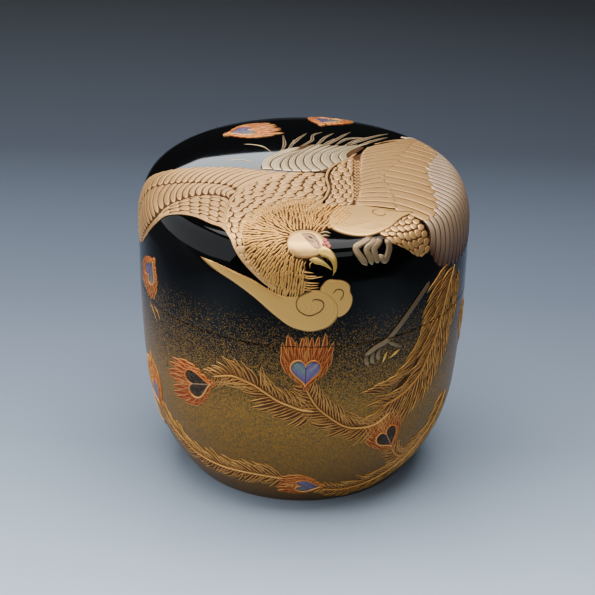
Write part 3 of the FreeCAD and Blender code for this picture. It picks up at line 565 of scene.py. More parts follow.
def leaves(starts, ways, lengths, bends, widths, rise, section, chart, steps=9, shape=None, base=0.0):
    """Leaf-shaped ridges: each leaves its start in the direction ways (radians) and its direction
    changes evenly by bends on the way; the path is the running sum of the directions."""
    lengths, bends, widths = (np.broadcast_to(item, len(starts)) for item in (lengths, bends, widths))
    along = np.linspace(0, 1, steps)
    heading = ways[:, None] + bends[:, None] * along
    run = np.stack([np.cos(heading), np.sin(heading)], -1) * (lengths / (steps - 1))[:, None, None]
    paths = starts[:, None, :] + np.cumsum(run, axis=1) - run
    shape = swell(steps) if shape is None else shape
    left = sideways(np.stack([np.cos(heading), np.sin(heading)], -1))
    halves = left * (0.5 * widths[:, None] * shape)[..., None]
    high = rise * np.clip(shape * 1.6, 0.05, 1) * np.ones((len(starts), 1))
    return tube_block(paths, halves, high, section, chart, base)


def lines(places, width, rise, section, chart, count=40, taper=0.15, base=0.0):
    """One ridge of even width along a smooth path, closing to a point over taper at each end."""
    path = smooth_path(places, count)[None]
    along = np.linspace(0, 1, count)
    shape = np.clip(np.minimum(along, 1 - along) / max(taper, 1e-3), 0.03, 1) ** 0.6
    halves = sideways(slopes(path)) * (0.5 * width * shape)[None, :, None]
    return tube_block(path, halves, (rise * shape)[None], section, chart, base)


# %% [markdown]
# Feathers that lie side by side share their long edges: each is a pad that fills the room between
# two neighbouring lines, less a fine gap. Under them lies a low mound of lacquer, which lifts the
# whole bird off the surface.

# %% Pads and grounds
def strips(edge_a, edge_b, gap, rise, section, chart, ends=(0.0, 0.0), base=0.0):
    """Pads between neighbouring lines: edge_a and edge_b (n, m, 2) are their two long sides; gap mm
    stays free between neighbours; ends give the share of the length that is rounded at each end."""
    middles = 0.5 * (edge_a + edge_b)
    halves = 0.5 * (edge_b - edge_a)
    wide = np.hypot(halves[..., 0], halves[..., 1])
    along = np.linspace(0, 1, edge_a.shape[1])
    shape = np.ones(len(along))
    if ends[0] > 0:
        shape *= np.sqrt(np.clip(1 - np.clip(1 - along / ends[0], 0, 1) ** 2, 0.0, 1))
    if ends[1] > 0:
        shape *= np.sqrt(np.clip(1 - np.clip(1 - (1 - along) / ends[1], 0, 1) ** 2, 0.0, 1))
    trim = np.clip((wide - 0.5 * gap) / np.maximum(wide, 1e-6), 0.02, 1) * np.clip(shape, 0.03, 1)
    high = rise * np.clip(shape, 0.3, 1) * np.ones(wide.shape)
    return tube_block(middles, halves * trim[..., None], high, section, chart, base)


def ground(side_a, side_b, rise, chart, rows=60, columns=17, edge=0.25):
    """Low smooth mound between two smooth side lines, under the raised work: rounded off over edge
    (a share of its width), and closed underneath."""
    first, second = smooth_path(side_a, rows), smooth_path(side_b, rows)
    across = np.linspace(-1, 1, columns)
    rounded = np.clip((1 - np.abs(across)) / edge, 0, 1)
    section = np.stack([across, np.sqrt(np.clip(1 - (1 - rounded) ** 2, 0, 1)), np.zeros(columns)], -1)
    middles, halves = 0.5 * (first + second)[None], 0.5 * (second - first)[None]
    along = np.linspace(0, 1, rows)
    high = rise * np.clip(np.minimum(along, 1 - along) * rows / 3, 0, 1)
    return tube_block(middles, halves, high[None], section, chart)

# %% [markdown]
# ## Gold and its neighbours
# The relief is gold powder on lacquer: a satin metal with a fine grain, brown where the lines sink
# between the feathers. The brown lines could be painted as an image, but the points already carry
# a tone that is 0 in the lines and 1 on the gold, so the colour follows every feather exactly. A
# second number, run, goes from 0 to 1 along each ridge and lets a feather change towards its tip.

# %% Finishes of the decoration
def note_value(build, name):
    """A number that the points carry, as a shader value."""
    return build.node("ShaderNodeAttribute", output=2, attribute_name=name)


def powdered(name, line, gold, tip=None, metal=0.75, rough=0.38, vary=0.12, brushed=0.0):
    """Gold-powder finish: line colour to gold by tone, towards tip along each ridge if given.
    Where brushed, fine darker lines follow the outline: bands of run, bent by the noise."""
    material, build, shader = new_finish(name)
    place = build.node("ShaderNodeTexCoord", output=3)
    tone = note_value(build, "tone").clipped(0.1, 0.9)
    chance = note_value(build, "chance")
    grain = build.node("ShaderNodeTexNoise", {0: place, 2: 2400.0, 3: 4.0, 4: 0.7})
    patches = build.node("ShaderNodeTexNoise", {0: place, 2: 130.0, 3: 3.0})
    colour = gold
    if tip is not None:
        colour = note_value(build, "run").clipped(0.25, 0.95).blend(gold, tip)
    shade = 1 - (patches * 0.5 + grain * 0.6 + chance * 0.5) * vary
    if brushed:
        bands = build.maths("FRACT", note_value(build, "run") * 9.0 + patches * 3.0)
        shade = shade - (1 - bands.clipped(0.0, 0.45)) * brushed
    lit = dimmed(build, colour, shade)
    bump = build.node("ShaderNodeBump", {"Strength": 0.2, "Distance": 0.00003, "Height": grain})
    shader.inputs["Specular IOR Level"].default_value = 0.25
    feed(build, shader, Base_Color=tone.blend(line, lit), Metallic=tone * metal,
         Roughness=grain * 0.12 + (1 - tone) * 0.3 + (rough - 0.05), Normal=bump)
    return material


# %% [markdown]
# Every part of the bird has its own gold: pale on the wings, burnished on the head and thigh,
# silvery on the plumes, red on the flames and brown on the legs. They differ only in colours, in
# how metallic they are and in how much they vary.

# %% The golds of this caddy
BROWN_LINE = rgb(0.12, 0.050, 0.012)
pale_gold = powdered("pale gold", BROWN_LINE, rgb(0.95, 0.53, 0.20))
smooth_gold = powdered("burnished gold", BROWN_LINE, rgb(1.0, 0.58, 0.19), vary=0.08, brushed=0.05)
cloud_gold = powdered("cloud gold", BROWN_LINE, rgb(1.0, 0.55, 0.13), metal=0.35, vary=0.06, brushed=0.12)
hair_gold = powdered("hair gold", BROWN_LINE, rgb(0.95, 0.50, 0.13))
silver_gold = powdered("silvery gold", rgb(0.07, 0.035, 0.015), rgb(0.86, 0.64, 0.36))
tip_gold = powdered("wing tip", rgb(0.07, 0.03, 0.03), rgb(0.95, 0.66, 0.42), rgb(0.17, 0.070, 0.040),
                    metal=0.6)
barb_gold = powdered("barb gold", rgb(0.10, 0.032, 0.006), rgb(0.80, 0.36, 0.08), rgb(1.0, 0.54, 0.14),
                     metal=0.55)
flame_gold = powdered("flame", rgb(0.26, 0.035, 0.005), rgb(0.74, 0.21, 0.04), rgb(1.0, 0.52, 0.14),
                      metal=0.5)
beak_gold = powdered("beak gold", BROWN_LINE, rgb(1.0, 0.62, 0.14), vary=0.06)
claw_gold = powdered("claw gold", rgb(0.03, 0.02, 0.012), rgb(0.30, 0.20, 0.11), rgb(0.46, 0.33, 0.18),
                     metal=0.6)
leg_gold = powdered("leg gold", rgb(0.03, 0.015, 0.008), rgb(0.20, 0.13, 0.07), rgb(0.34, 0.23, 0.12),
                    metal=0.5)
comb_red = powdered("comb red", rgb(0.20, 0.02, 0.015), rgb(0.60, 0.16, 0.13), metal=0.2, rough=0.3)
line_brown = powdered("drawn line", rgb(0.11, 0.05, 0.015), rgb(0.14, 0.065, 0.02), metal=0.3)
brown_ground = powdered("brown ground", rgb(0.075, 0.028, 0.006), rgb(0.095, 0.038, 0.009), metal=0.2,
                        rough=0.55)
face_brown = powdered("face brown", rgb(0.20, 0.09, 0.04), rgb(0.52, 0.29, 0.15), metal=0.4)
flame_ground = powdered("flame ground", rgb(0.26, 0.05, 0.012), rgb(0.30, 0.07, 0.015), metal=0.3)

# %% [markdown]
# ## The neck
# The neck is covered by small rounded feathers in rows, which turn to hair round the head. A scale
# texture would look flat here, because on the real piece each feather catches the light at its own
# edge. So the feathers are pads in a field that is stretched between the neck's two side lines: a
# place is a share across and a share down.

# %% Fields between two lines
class Field:
    """Places between two smooth side lines, by share across (0 to 1) and share along (0 to 1)."""

    def __init__(self, side_a, side_b, samples=200):
        self.first = smooth_path(side_a, samples)
        self.second = smooth_path(side_b, samples)

    def at(self, across, along):
        """The place at two shares: a step between the side lines' points at the same share along."""
        where = np.clip(along, 0, 1) * (len(self.first) - 1)
        index = np.arange(len(self.first))
        a, b = (np.stack([np.interp(where, index, side[:, axis]) for axis in (0, 1)], -1)
                for side in (self.first, self.second))
        across = np.asarray(across, float)[..., None]
        return a * (1 - across) + b * across


def feather_rows(field, rows, width, shares=(0.0, 1.0), overlap=0.15, steps=7, wander=0.10):
    """Side lines of small feathers in staggered rows: each row spans the field and holds as many
    feathers of about the given width as fit; a little unevenness comes from the draws."""
    sides_a, sides_b = [], []
    bounds = np.linspace(*shares, rows + 1)
    for row in range(rows):
        low, high = bounds[row], bounds[row + 1] + overlap * (bounds[1] - bounds[0])
        span = np.hypot(*(field.at(1.0, low) - field.at(0.0, low)))
        count = max(int(round(span / width)), 1)
        offset = 0.5 * (row % 2)
        cuts = (np.arange(count + 2) - offset) / count
        cuts[1:-1] += draws.uniform(-wander, wander, count) / count
        cuts = np.clip(cuts, 0, 1)
        cuts = cuts[np.concatenate([[True], np.diff(cuts) > 0.25 / count])]
        along = np.linspace(low, high, steps)
        sides_a.append(field.at(cuts[:-1, None], along[None]))
        sides_b.append(field.at(cuts[1:, None], along[None]))
    return np.vstack(sides_a), np.vstack(sides_b)


# %% [markdown]
# The two side lines of the neck are given by a few places, in mm from the middle of the lid. One
# field fills most of it, and a second one follows its left edge down to the throat.

# %% The neck
neck_left = [(-2.7, -5.2), (-6.5, -6.9), (-9.3, -8.6), (-12, -11.2), (-14.2, -14), (-15.6, -17),
             (-16.4, -21), (-16.7, -25), (-16, -28), (-15, -30.3), (-14.4, -32.5), (-13.3, -35),
             (-11.8, -37.3), (-10, -39.5), (-7.2, -42.4)]
neck_right = [(4.6, -5), (4.5, -8), (5, -11.5), (4.9, -13.6), (4.3, -16), (3.6, -19), (4.6, -22),
              (5.1, -25), (5.2, -29), (5, -33), (2.2, -35.2), (0.6, -37.4), (1.6, -39.6), (1.4, -42),
              (-1.8, -44)]
relief("neck_ground", [ground(neck_left, neck_right, 0.16, "lid", rows=90)], brown_ground, "lid",
       ["phoenix_neck"])
scale_field = Field(neck_left[:8], [(4.6, -5.2), (4.4, -8), (4.8, -11.5), (4.6, -14), (3.4, -17),
                                    (0.5, -18.6), (-4.5, -20.6), (-8.4, -23.4), (-10.6, -26)])
edge_a, edge_b = feather_rows(scale_field, 14, 2.35, wander=0.14)
neck_feathers = [strips(edge_a, edge_b, 0.18, 0.08, PAD, "lid", (0.12, 0.62), base=0.16)]
edge_field = Field([(-16.7, -25), (-16, -28), (-15, -30.3), (-14.4, -32.5), (-13.3, -35), (-11.8, -37.3),
                    (-10, -39.5), (-7.4, -42.3)],
                   [(-12, -25.4), (-12.6, -28.5), (-12.2, -31.5), (-11.8, -34), (-10.9, -36.2),
                    (-9.8, -38), (-8.4, -39.8), (-6.2, -42)])
edge_a, edge_b = feather_rows(edge_field, 11, 1.7)
neck_feathers.append(strips(edge_a, edge_b, 0.18, 0.08, PAD, "lid", (0.1, 0.55), base=0.16))
neck_feathers.append(lines(neck_left, 0.55, 0.3, PAD, "lid", count=80, taper=0.05))
relief("neck_feathers", neck_feathers, pale_gold, "lid")

# %% [markdown]
# ## The hair round the head
# Short hairs stand round the head in rings, each pointing outwards. A particle system could grow
# them, but they are ridges of lacquer, not fibres. Their roots are worked out in polar form, and
# only those that fall on the neck are kept.

# %% Hair
def inside(places, corners):
    """Whether places (n, 2) lie inside a closed outline: counts the outline's edges that a line to
    the right of each place crosses; an odd number means inside."""
    corners = np.asarray(corners, float)
    after = np.roll(corners, -1, axis=0)
    x, y = places[:, :1], places[:, 1:]
    spans = (corners[:, 1] > y) != (after[:, 1] > y)
    climb = after[:, 1] - corners[:, 1]
    slope = (after[:, 0] - corners[:, 0]) / np.where(climb == 0, 1e-9, climb)
    crosses = x < corners[:, 0] + slope * (y - corners[:, 1])
    return (spans & crosses).sum(axis=1) % 2 == 1


def rings_of_hair(middle, radii, pitch, zone):
    """Roots and outward directions of hairs on rings round a middle, kept inside a zone."""
    roots, ways = [], []
    for number, radius in enumerate(radii):
        count = int(2 * np.pi * radius / pitch)
        steps = np.arange(count) + 0.5 * (number % 2) + draws.uniform(-0.15, 0.15, count)
        around = steps * 2 * np.pi / count
        spread = radius + draws.uniform(-0.25, 0.25, count)
        roots.append(np.stack([middle[0] + spread * np.cos(around), middle[1] + spread * np.sin(around)], -1))
        ways.append(around)
    roots, ways = np.vstack(roots), np.concatenate(ways)
    keep = inside(roots, zone)
    return roots[keep], ways[keep]


# %% [markdown]
# The zones below say where hair grows: on the neck, and a little over the thigh's edge. The
# strands under the beak are placed one by one.

# %% The hair
head_middle = (0.4, -31.4)
hair_zone = [(-12.6, -25), (-10, -22), (-5.5, -19.6), (0, -17.6), (3.2, -18.4), (4.6, -22.5), (5, -27.5),
             (3.0, -29.2), (-2.6, -30.4), (-2.6, -34.3), (0.2, -35.6), (0.6, -39), (0.9, -42),
             (-1.6, -43.6), (-6, -42.4), (-8.6, -39.2), (-11.2, -35.4), (-12.2, -30.5)]
roots, ways = rings_of_hair(head_middle, np.arange(3.0, 13.6, 0.92), 0.62, hair_zone)
lean = 0.5 * np.sin(ways * 2 + 0.6) + draws.normal(0, 0.10, len(ways))
hair = leaves(roots, ways + lean * 0.4, draws.uniform(1.8, 2.5, len(ways)), lean, 0.60, 0.13, HAIR, "lid",
              shape=swell(9, 0.3, 1.0, 0.5), base=0.16)
thigh_zone = [(4, -20), (8.4, -19.6), (8.8, -23), (7.6, -26.6), (5, -28)]
side_roots, side_ways = rings_of_hair(head_middle, np.arange(6.0, 13.0, 0.95), 0.66, thigh_zone)
side_hair = leaves(side_roots, side_ways - 0.3, draws.uniform(1.7, 2.3, len(side_ways)), 0.3, 0.55, 0.13,
                   HAIR, "lid", shape=swell(9, 0.3, 1.0, 0.5), base=0.27)
strand_paths = [[(-1, -37.8), (0, -38.6), (2.4, -38.8)], [(-1, -39), (1.4, -40), (4.5, -39.4)],
                [(-1.4, -39.6), (0.7, -40.9), (3.9, -40.9)], [(-1.1, -41.1), (1.1, -42.1), (4, -41.9)],
                [(-1.1, -42.3), (1.1, -42.6), (3, -42.6)], [(-1, -37.4), (-0.6, -36.3), (0, -35.8)],
                [(0.5, -38), (0.2, -37.2), (0.6, -36.4)], [(1.5, -37.8), (1.5, -36.9), (2.1, -36.4)],
                [(-0.4, -38.4), (0.8, -39.5), (3.2, -39.4)], [(-1.2, -40.4), (0.9, -41.5), (3.8, -41.4)]]
strands = [lines(path, 0.48, 0.16, HAIR, "lid", count=14, taper=0.8, base=0.12) for path in strand_paths]
relief("head_hair", [hair, side_hair] + strands, hair_gold, "lid")

# %% [markdown]
# ## Rounded plaques
# The head, the thigh, the cloud and the inlaid hearts are plaques: an outline filled with rings
# that shrink to its middle, high inside and rounded down at the edge. A filled curve with a bevel
# would come close, but it stays flat, and a plaque has to follow the caddy's curve.

# %% Head, beak and comb
def plaque(outline, rise, chart, middle=None, roll=0.35, rings=9, base=0.0, notes_of=None):
    """Points and faces of a closed plaque: ring r of the outline lies at middle + r * (outline -
    middle); its height is a quarter circle over the outer share roll. One more ring, sunk under
    the lacquer, and a point below the middle close it."""
    outline = np.asarray(outline, float)
    middle = outline.mean(axis=0) if middle is None else np.asarray(middle, float)
    share = np.concatenate([np.linspace(0.12, 1 - roll, 3),
                            1 - roll * np.cos(np.linspace(0, np.pi / 2, rings))[1:]])
    near = np.clip((1 - share) / roll, 0, 1)
    height = base * (share < 1) + rise * np.sqrt(1 - (1 - near) ** 2)
    flat = middle + share[:, None, None] * (outline - middle)
    flat = np.concatenate([flat, flat[-1:]])
    proud = np.append(height, -SINK)[:, None] * np.ones(len(outline))
    points = CHARTS[chart](flat, proud).reshape(-1, 3)
    ends = CHARTS[chart](np.stack([middle, middle]), np.array([base + rise, -SINK]))
    rows, around = len(share) + 1, len(outline)
    quads = grid_quads(rows, around, wrap=True)
    first, last = np.arange(around), np.arange(around) + (rows - 1) * around
    top, low = rows * around, rows * around + 1
    fans = np.vstack([np.stack([np.full(around, top), np.roll(first, -1), first], -1),
                      np.stack([np.full(around, low), last, np.roll(last, -1)], -1)])
    flat_all = np.vstack([flat.reshape(-1, 2), middle, middle])
    shares = np.concatenate([np.repeat(np.append(share, 1), around), [0, 1]])
    notes = {"tone": np.clip((1 - shares) * 12, 0, 1), "run": shares, "chance": np.full(len(shares), 0.4)}
    if notes_of is not None:
        notes.update(notes_of(flat_all))
    return np.vstack([points, ends]), quads, fans, notes, flat_all


def closed_path(places, count):
    """A smooth closed line through places."""
    places = np.asarray(places, float)
    loop = smooth_path(np.vstack([places[-2:], places, places[:2]]), 40 * len(places))
    start = np.argmin(np.hypot(*(loop[:len(loop) // 3] - places[0]).T))
    turn_back = len(loop) - 1 - np.argmin(np.hypot(*(loop[::-1][:len(loop) // 3] - places[0]).T))
    part = loop[start:turn_back + 1]
    length = np.concatenate([[0], np.cumsum(np.hypot(*np.diff(part, axis=0).T))])
    even = np.linspace(0, length[-1], count + 1)[:-1]
    return np.stack([np.interp(even, length, part[:, axis]) for axis in (0, 1)], -1)


# %% [markdown]
# The head is a burnished plaque. The beak is two leaves that bend down, the upper one over the
# lower one.

# %% Head and beak
head_outline = closed_path([(-3.6, -31.8), (-2.8, -29.6), (-0.8, -28.5), (1.8, -28.5), (3.6, -29.6),
                            (4.6, -31.2), (5, -32.8), (4.6, -34.2), (3.2, -35.2), (1.4, -35.9),
                            (-0.8, -36), (-2.8, -35), (-3.5, -33.6)], 72)
relief("head", [plaque(head_outline, 0.30, "lid", (0.6, -32.2), roll=0.3)], smooth_gold, "lid",
       ["phoenix_head"])
upper_beak = leaves(np.array([(3.0, -34.3)]), np.array([0.15]), 7.4, -2.2, 2.3, 0.36, PAD, "lid", steps=24,
                    shape=swell(24, 0.12, 1.0, 0.8), base=0.12)
lower_beak = leaves(np.array([(1.2, -36.1)]), np.array([0.0]), 5.8, -0.7, 1.45, 0.26, PAD, "lid", steps=18,
                    shape=swell(18, 0.25, 1.0, 0.8), base=0.10)
relief("beak", [upper_beak, lower_beak], beak_gold, "lid", ["phoenix_beak"])

# %% [markdown]
# Round the eye lies a brown patch with a few drawn wrinkles. The comb is four small red beads, and
# two silvery hairs stand beside it.

# %% Face, eye and comb
face_outline = closed_path([(-0.5, -29.8), (0.9, -29.7), (2.2, -30.5), (3.2, -31.9), (3.7, -33.4),
                            (2.7, -33.9), (1.3, -32.9), (0.2, -31.4)], 48)
relief("face", [plaque(face_outline, 0.06, "lid", base=0.27, roll=0.2)], face_brown, "lid")
face_lines = [[(0.3, -30.0), (1.5, -30.0), (2.6, -31.0)], [(0.2, -30.9), (1.0, -31.9), (2.3, -32.4)],
              [(2.3, -31.5), (3.0, -32.5), (3.2, -33.4)], [(1.6, -35.6), (0.2, -35.8), (-1.2, -35.5)],
              [(3.4, -34.4), (4.6, -35.0), (5.4, -36.2)], [(2.8, -35.3), (3.8, -35.6), (4.6, -36.2)],
              [(1.0, -30.7), (1.6, -31.0), (2.2, -31.6)]]
relief("face_lines", [lines(path, 0.22, 0.07, HAIR, "lid", count=12, base=0.32) for path in face_lines],
       line_brown, "lid")
pupil_outline = closed_path([(0.8, -30.8), (1.3, -30.7), (2.0, -31.3), (1.4, -31.3)], 16)
relief("eye", [plaque(pupil_outline, 0.06, "lid", base=0.33)], plain_lacquer, "lid")
comb_parts = [plaque(closed_path([(x - w, y), (x, y + w), (x + w, y), (x, y - w)], 20), 0.2, "lid",
                     base=0.35, roll=0.7)
              for x, y, w in ((4.4, -31.7, 0.62), (4.9, -32.5, 0.6), (5.3, -33.1, 0.5), (4.1, -32.7, 0.45))]
relief("comb", comb_parts, comb_red, "lid", ["phoenix_comb"])
crest = [lines([(3.4, -31.2), (4.1, -30.4), (5.4, -30.3)],
               0.34, 0.2, HAIR, "lid", count=12, taper=0.5, base=0.35),
         lines([(3.2, -29.6), (4.3, -29.2), (5.6, -29.4)],
               0.3, 0.2, HAIR, "lid", count=12, taper=0.5, base=0.3)]
relief("crest", crest, silver_gold, "lid")

# %% [markdown]
# ## The left wing
# Two rows of curved bars lie side by side like a comb, each bulging towards the wing's tip. An
# Array modifier would repeat one bar, but these change in length and slant all the way. So each
# bar is the pad between two neighbouring lines that join the wing's long lines. Under the second
# row come small coverts, and a bright edge closes the wing.

# %% Left wing
wing_top = [(-2.7, -5.2), (-5, -4.9), (-7.5, -4.4), (-10, -3.7), (-12.5, -2.8), (-15, -2), (-20, -1.2),
            (-25, -0.5), (-30, 0), (-34, -0.5), (-38, -1.2), (-41, -2), (-44, -3.2)]
wing_middle = [(-14.2, -14), (-14.6, -12.9), (-15.1, -11.9), (-15.9, -11), (-17, -10.2), (-18.5, -9.6),
               (-20.5, -9), (-25, -7.8), (-30, -6.6), (-34, -6), (-38, -5.8), (-41, -6), (-44.5, -7.2)]
wing_low = [(-15.5, -16.6), (-16.4, -15.4), (-18, -14.5), (-20, -14), (-23, -13.8), (-26, -14.4),
            (-29, -15.6), (-32, -16), (-35, -15.6), (-38, -14.6), (-41, -13.2), (-44, -11.6)]
wing_edge = [(-16, -28), (-17.2, -26.3), (-19.5, -24.6), (-22.3, -22), (-25, -20.2), (-27.5, -19),
             (-29.8, -18), (-33, -17.3), (-36.5, -16.2), (-40, -14.6), (-43.5, -12.4)]


def bars_between(starts, ends, count, bulge, steps=15, crowd=1.0):
    """Side lines of bars from one line to another: side line i joins the same share of both and is
    pushed to its right by bulge mm at its middle (a parabola). A crowd below 1 makes the bars
    narrower towards the far end."""
    share = np.linspace(0, 1, count + 1) ** crowd
    down = np.linspace(0, 1, steps)
    edges = Field(starts, ends, 300).at(down[None, :], share[:, None])
    way = edges[:, -1] - edges[:, 0]
    right = -sideways(way) / np.hypot(way[:, :1], way[:, 1:])
    edges = edges + (4 * down * (1 - down))[None, :, None] * right[:, None, :] * bulge
    return edges[:-1], edges[1:]


# %% [markdown]
# The bars, the coverts and a narrow last row are laid as one piece over the wing's brown ground.
# Two loose curls lie on the black beside it.

# %% Bars, coverts and rim
relief("left_wing_ground", [ground(wing_top, wing_edge, 0.14, "lid", rows=80, edge=0.12)], brown_ground,
       "lid", ["left_wing_upper", "left_wing_lower"])
bars = [strips(*bars_between(wing_top, wing_middle, 24, 1.2, crowd=0.92), 0.20, 0.09, PAD, "lid",
               (0.05, 0.08), 0.14),
        strips(*bars_between(wing_middle, wing_low, 22, 1.0), 0.20, 0.08, PAD, "lid", (0.05, 0.25), 0.13)]
edge_a, edge_b = feather_rows(Field([(-15.8, -16.8), (-18, -15), (-22, -14.1), (-26, -14.7), (-30, -16.1),
                                     (-33, -16.5)],
                                    [(-16.2, -27.6), (-19.5, -24.6), (-23.5, -21.2), (-27.5, -19),
                                     (-30.5, -17.9), (-33.4, -17.2)]), 8, 1.75, wander=0.2)
bars.append(strips(edge_a, edge_b, 0.18, 0.08, PAD, "lid", (0.2, 0.6), base=0.13))
edge_a, edge_b = bars_between([(-30, -16.9), (-34, -16.2), (-38, -14.9), (-43, -12.3)],
                           [(-31, -17.8), (-35, -16.9), (-39, -15.4), (-43.4, -12.7)], 6, 0.0)
bars.append(strips(edge_a, edge_b, 0.12, 0.08, PAD, "lid", base=0.12))
relief("left_wing_feathers", bars, pale_gold, "lid")
relief("left_wing_rim", [lines(wing_edge, 0.45, 0.24, PAD, "lid", count=70, taper=0.03)], pale_gold, "lid")
curls = [lines([(-17.7, 2), (-14.8, 2), (-12, 1), (-9.8, -1.6)], 0.5, 0.14, HAIR, "lid", count=24, taper=0.8),
         lines([(-13.5, 10.8), (-11, 10), (-9, 8.5), (-7.3, 5.3)], 0.5, 0.14, HAIR, "lid", count=24,
               taper=0.8)]
relief("back_curls", curls, silver_gold, "lid")

# %% [markdown]
# ## The right wing
# Round feathers cover the shoulder, a zigzag braid closes them, and three rows of long feathers
# follow, each row tucked under the one before it. The last row runs over the edge of the lid. The
# rows lie at falling heights, so that each one's roots are hidden without cutting anything.

# %% Right wing
braid_turn = 0.75       # mm between one corner of the braid and the next
double_line = [(11.2, 6.2), (9.2, 2.3), (7, 0), (5.5, -2.7), (4.8, -5.2), (4.6, -8), (5.1, -11.5),
               (5, -13.4), (4.4, -16), (3.3, -18), (1.7, -20), (-0.4, -22.6)]
relief("shoulder_line", [lines(double_line, 0.62, 0.30, PAD, "lid", count=80, taper=0.04)], pale_gold, "lid")
row_starts = [[(13.6, 10), (12.5, 7.2), (12, 4.6), (11.8, 2), (11.7, -2), (11.8, -7), (11.7, -12),
               (10.6, -18.8)],
              [(15, 12.5), (21.5, 17), (21, 9.5), (19.6, 4.3), (17, -1.5), (16, -5.2), (17.4, -10),
               (17.6, -15), (19.4, -18.9)],
              [(21, 20.5), (27, 17), (27.2, 8), (26, 3), (26.2, -1.8), (26.9, -6.5), (27.5, -11),
               (27.5, -15.3), (26.6, -18.6), (24.6, -20.4)]]
row_ends = [[(24.6, 19), (23.4, 14.5), (22, 9.5), (20.6, 4.3), (18, -1.5), (16.9, -5.2), (18.2, -9),
             (19.1, -13), (19.6, -18.6)],
            [(27, 23), (29.5, 15), (28.3, 8), (26.9, 3), (27.1, -1.8), (27.8, -6.5), (28.5, -11),
             (28.5, -15.3), (27.8, -18.8), (25.4, -21)],
            [(30, 25), (37, 19), (41.5, 11), (44, 3), (45, -5), (44.6, -12), (42.5, -18), (39, -23),
             (34.5, -26.6), (28.6, -26.4)]]
relief("right_wing_ground",
       [ground([(9.4, 3), (5.2, -5), (5.2, -12), (4.4, -17), (3.4, -24)],
               [(13, 7.5), (12.6, 2), (12.6, -6), (12.4, -13), (10.4, -19.4)], 0.15, "lid"),
        ground(row_starts[0], row_ends[0], 0.15, "lid"),
        ground(row_starts[1], row_ends[1], 0.09, "lid"),
        ground(row_starts[2], row_ends[2], 0.05, "lid", edge=0.08)],
       brown_ground, "lid", ["right_scapulars"])
edge_a, edge_b = feather_rows(Field([(9.9, 3.4), (7.6, 0.4), (6, -3), (5.3, -6), (5.6, -11.5),
                                     (5.4, -14.5), (4.6, -17), (3.2, -20.4)],
                                    [(10.8, 3.2), (10.5, 0), (10.4, -3.5), (10.4, -7), (10.6, -11),
                                     (10.6, -14), (10.4, -17), (9.6, -18.6)]), 12, 1.95, wander=0.15)
shoulder = strips(edge_a, edge_b, 0.18, 0.09, PAD, "lid", (0.3, 0.6), base=0.16)
corner = np.arange(28)
braid = [np.stack([11.2 + side * 0.35 + 0.35 * (-1.0) ** corner, 2.6 - corner * braid_turn], -1)
         for side in (-1, 1)]
relief("right_shoulder", [shoulder] + [lines(path, 0.3, 0.26, HAIR, "lid", count=110, taper=0.02)
                                       for path in braid],
       pale_gold, "lid")


# %% [markdown]
# A row of long feathers is made like the bars of the left wing: side lines from roots to tips,
# with a slight bow, and a pad between each two of them.

# %% The three rows of long feathers
def feather_fan(starts, ends, count, gap, base, sag):
    """Long feathers side by side from a line of roots to a line of tips, each rounded at its tip."""
    return strips(*bars_between(starts, ends, count, sag, steps=17), gap, 0.09, PAD, "lid", (0.0, 0.14), base)


relief("right_secondaries", [feather_fan(row_starts[0], row_ends[0], 17, 0.22, 0.16, -0.3)],
       pale_gold, "lid", ["right_secondaries"])
relief("right_primaries", [feather_fan(row_starts[1], row_ends[1], 15, 0.22, 0.1, -0.3)], pale_gold,
       "lid", ["right_primaries"])
relief("wing_tips", [feather_fan(row_starts[2], row_ends[2], 26, 0.40, 0.05, -0.8)], tip_gold, "lid",
       ["wing_tips"])

# %% [markdown]
# ## The back plumes
# Plumes stand up along the bird's back: nested crescents first, and then curly spikes. Each
# crescent is one broad pad with two fine lines drawn along it. The lines are thin ridges of their
# own, because a colour in the finish could not follow so tight a curve.

# %% Plumes
plume_paths = [[(-9.3, -3.4), (-9.4, -0.7), (-8.5, 2.4), (-6.4, 5.2), (-3.8, 7.5), (-1.2, 9.4)],
               [(-6.9, -3.6), (-7.5, -1.4), (-6.8, 1.4), (-4.8, 3.8), (-1.2, 6.8)],
               [(-4.8, -4.2), (-5.3, -1.6), (-4.6, 1.6), (-2.6, 4.6), (0.2, 8)],
               [(-2.7, -4.5), (-3.6, -1.3), (-3.2, 2.2), (-1.4, 5.6), (1.2, 9.5)],
               [(-0.6, -4.6), (-2, -1), (-1.7, 2.9), (0.2, 6.6), (2.5, 10.6)],
               [(1.4, -4.5), (-0.2, -0.8), (0, 3.3), (2, 6.8), (4.6, 10.2)],
               [(3.4, -4), (1.6, -0.4), (1.7, 3.6), (3.4, 6.8), (6.2, 10.2)],
               [(5, -2.6), (3.4, 0.6), (3.6, 4.4), (5.2, 7.2), (8, 10.4)],
               [(6.4, -0.8), (5.4, 2.3), (5.8, 5.3), (7.6, 8), (10, 10.6)],
               [(8, 1), (7.2, 3.6), (8, 6.4), (9.8, 9), (12.4, 12)],
               [(9.4, 2.8), (9, 5), (10, 7.6), (12.2, 10.6), (15, 13.6)]]
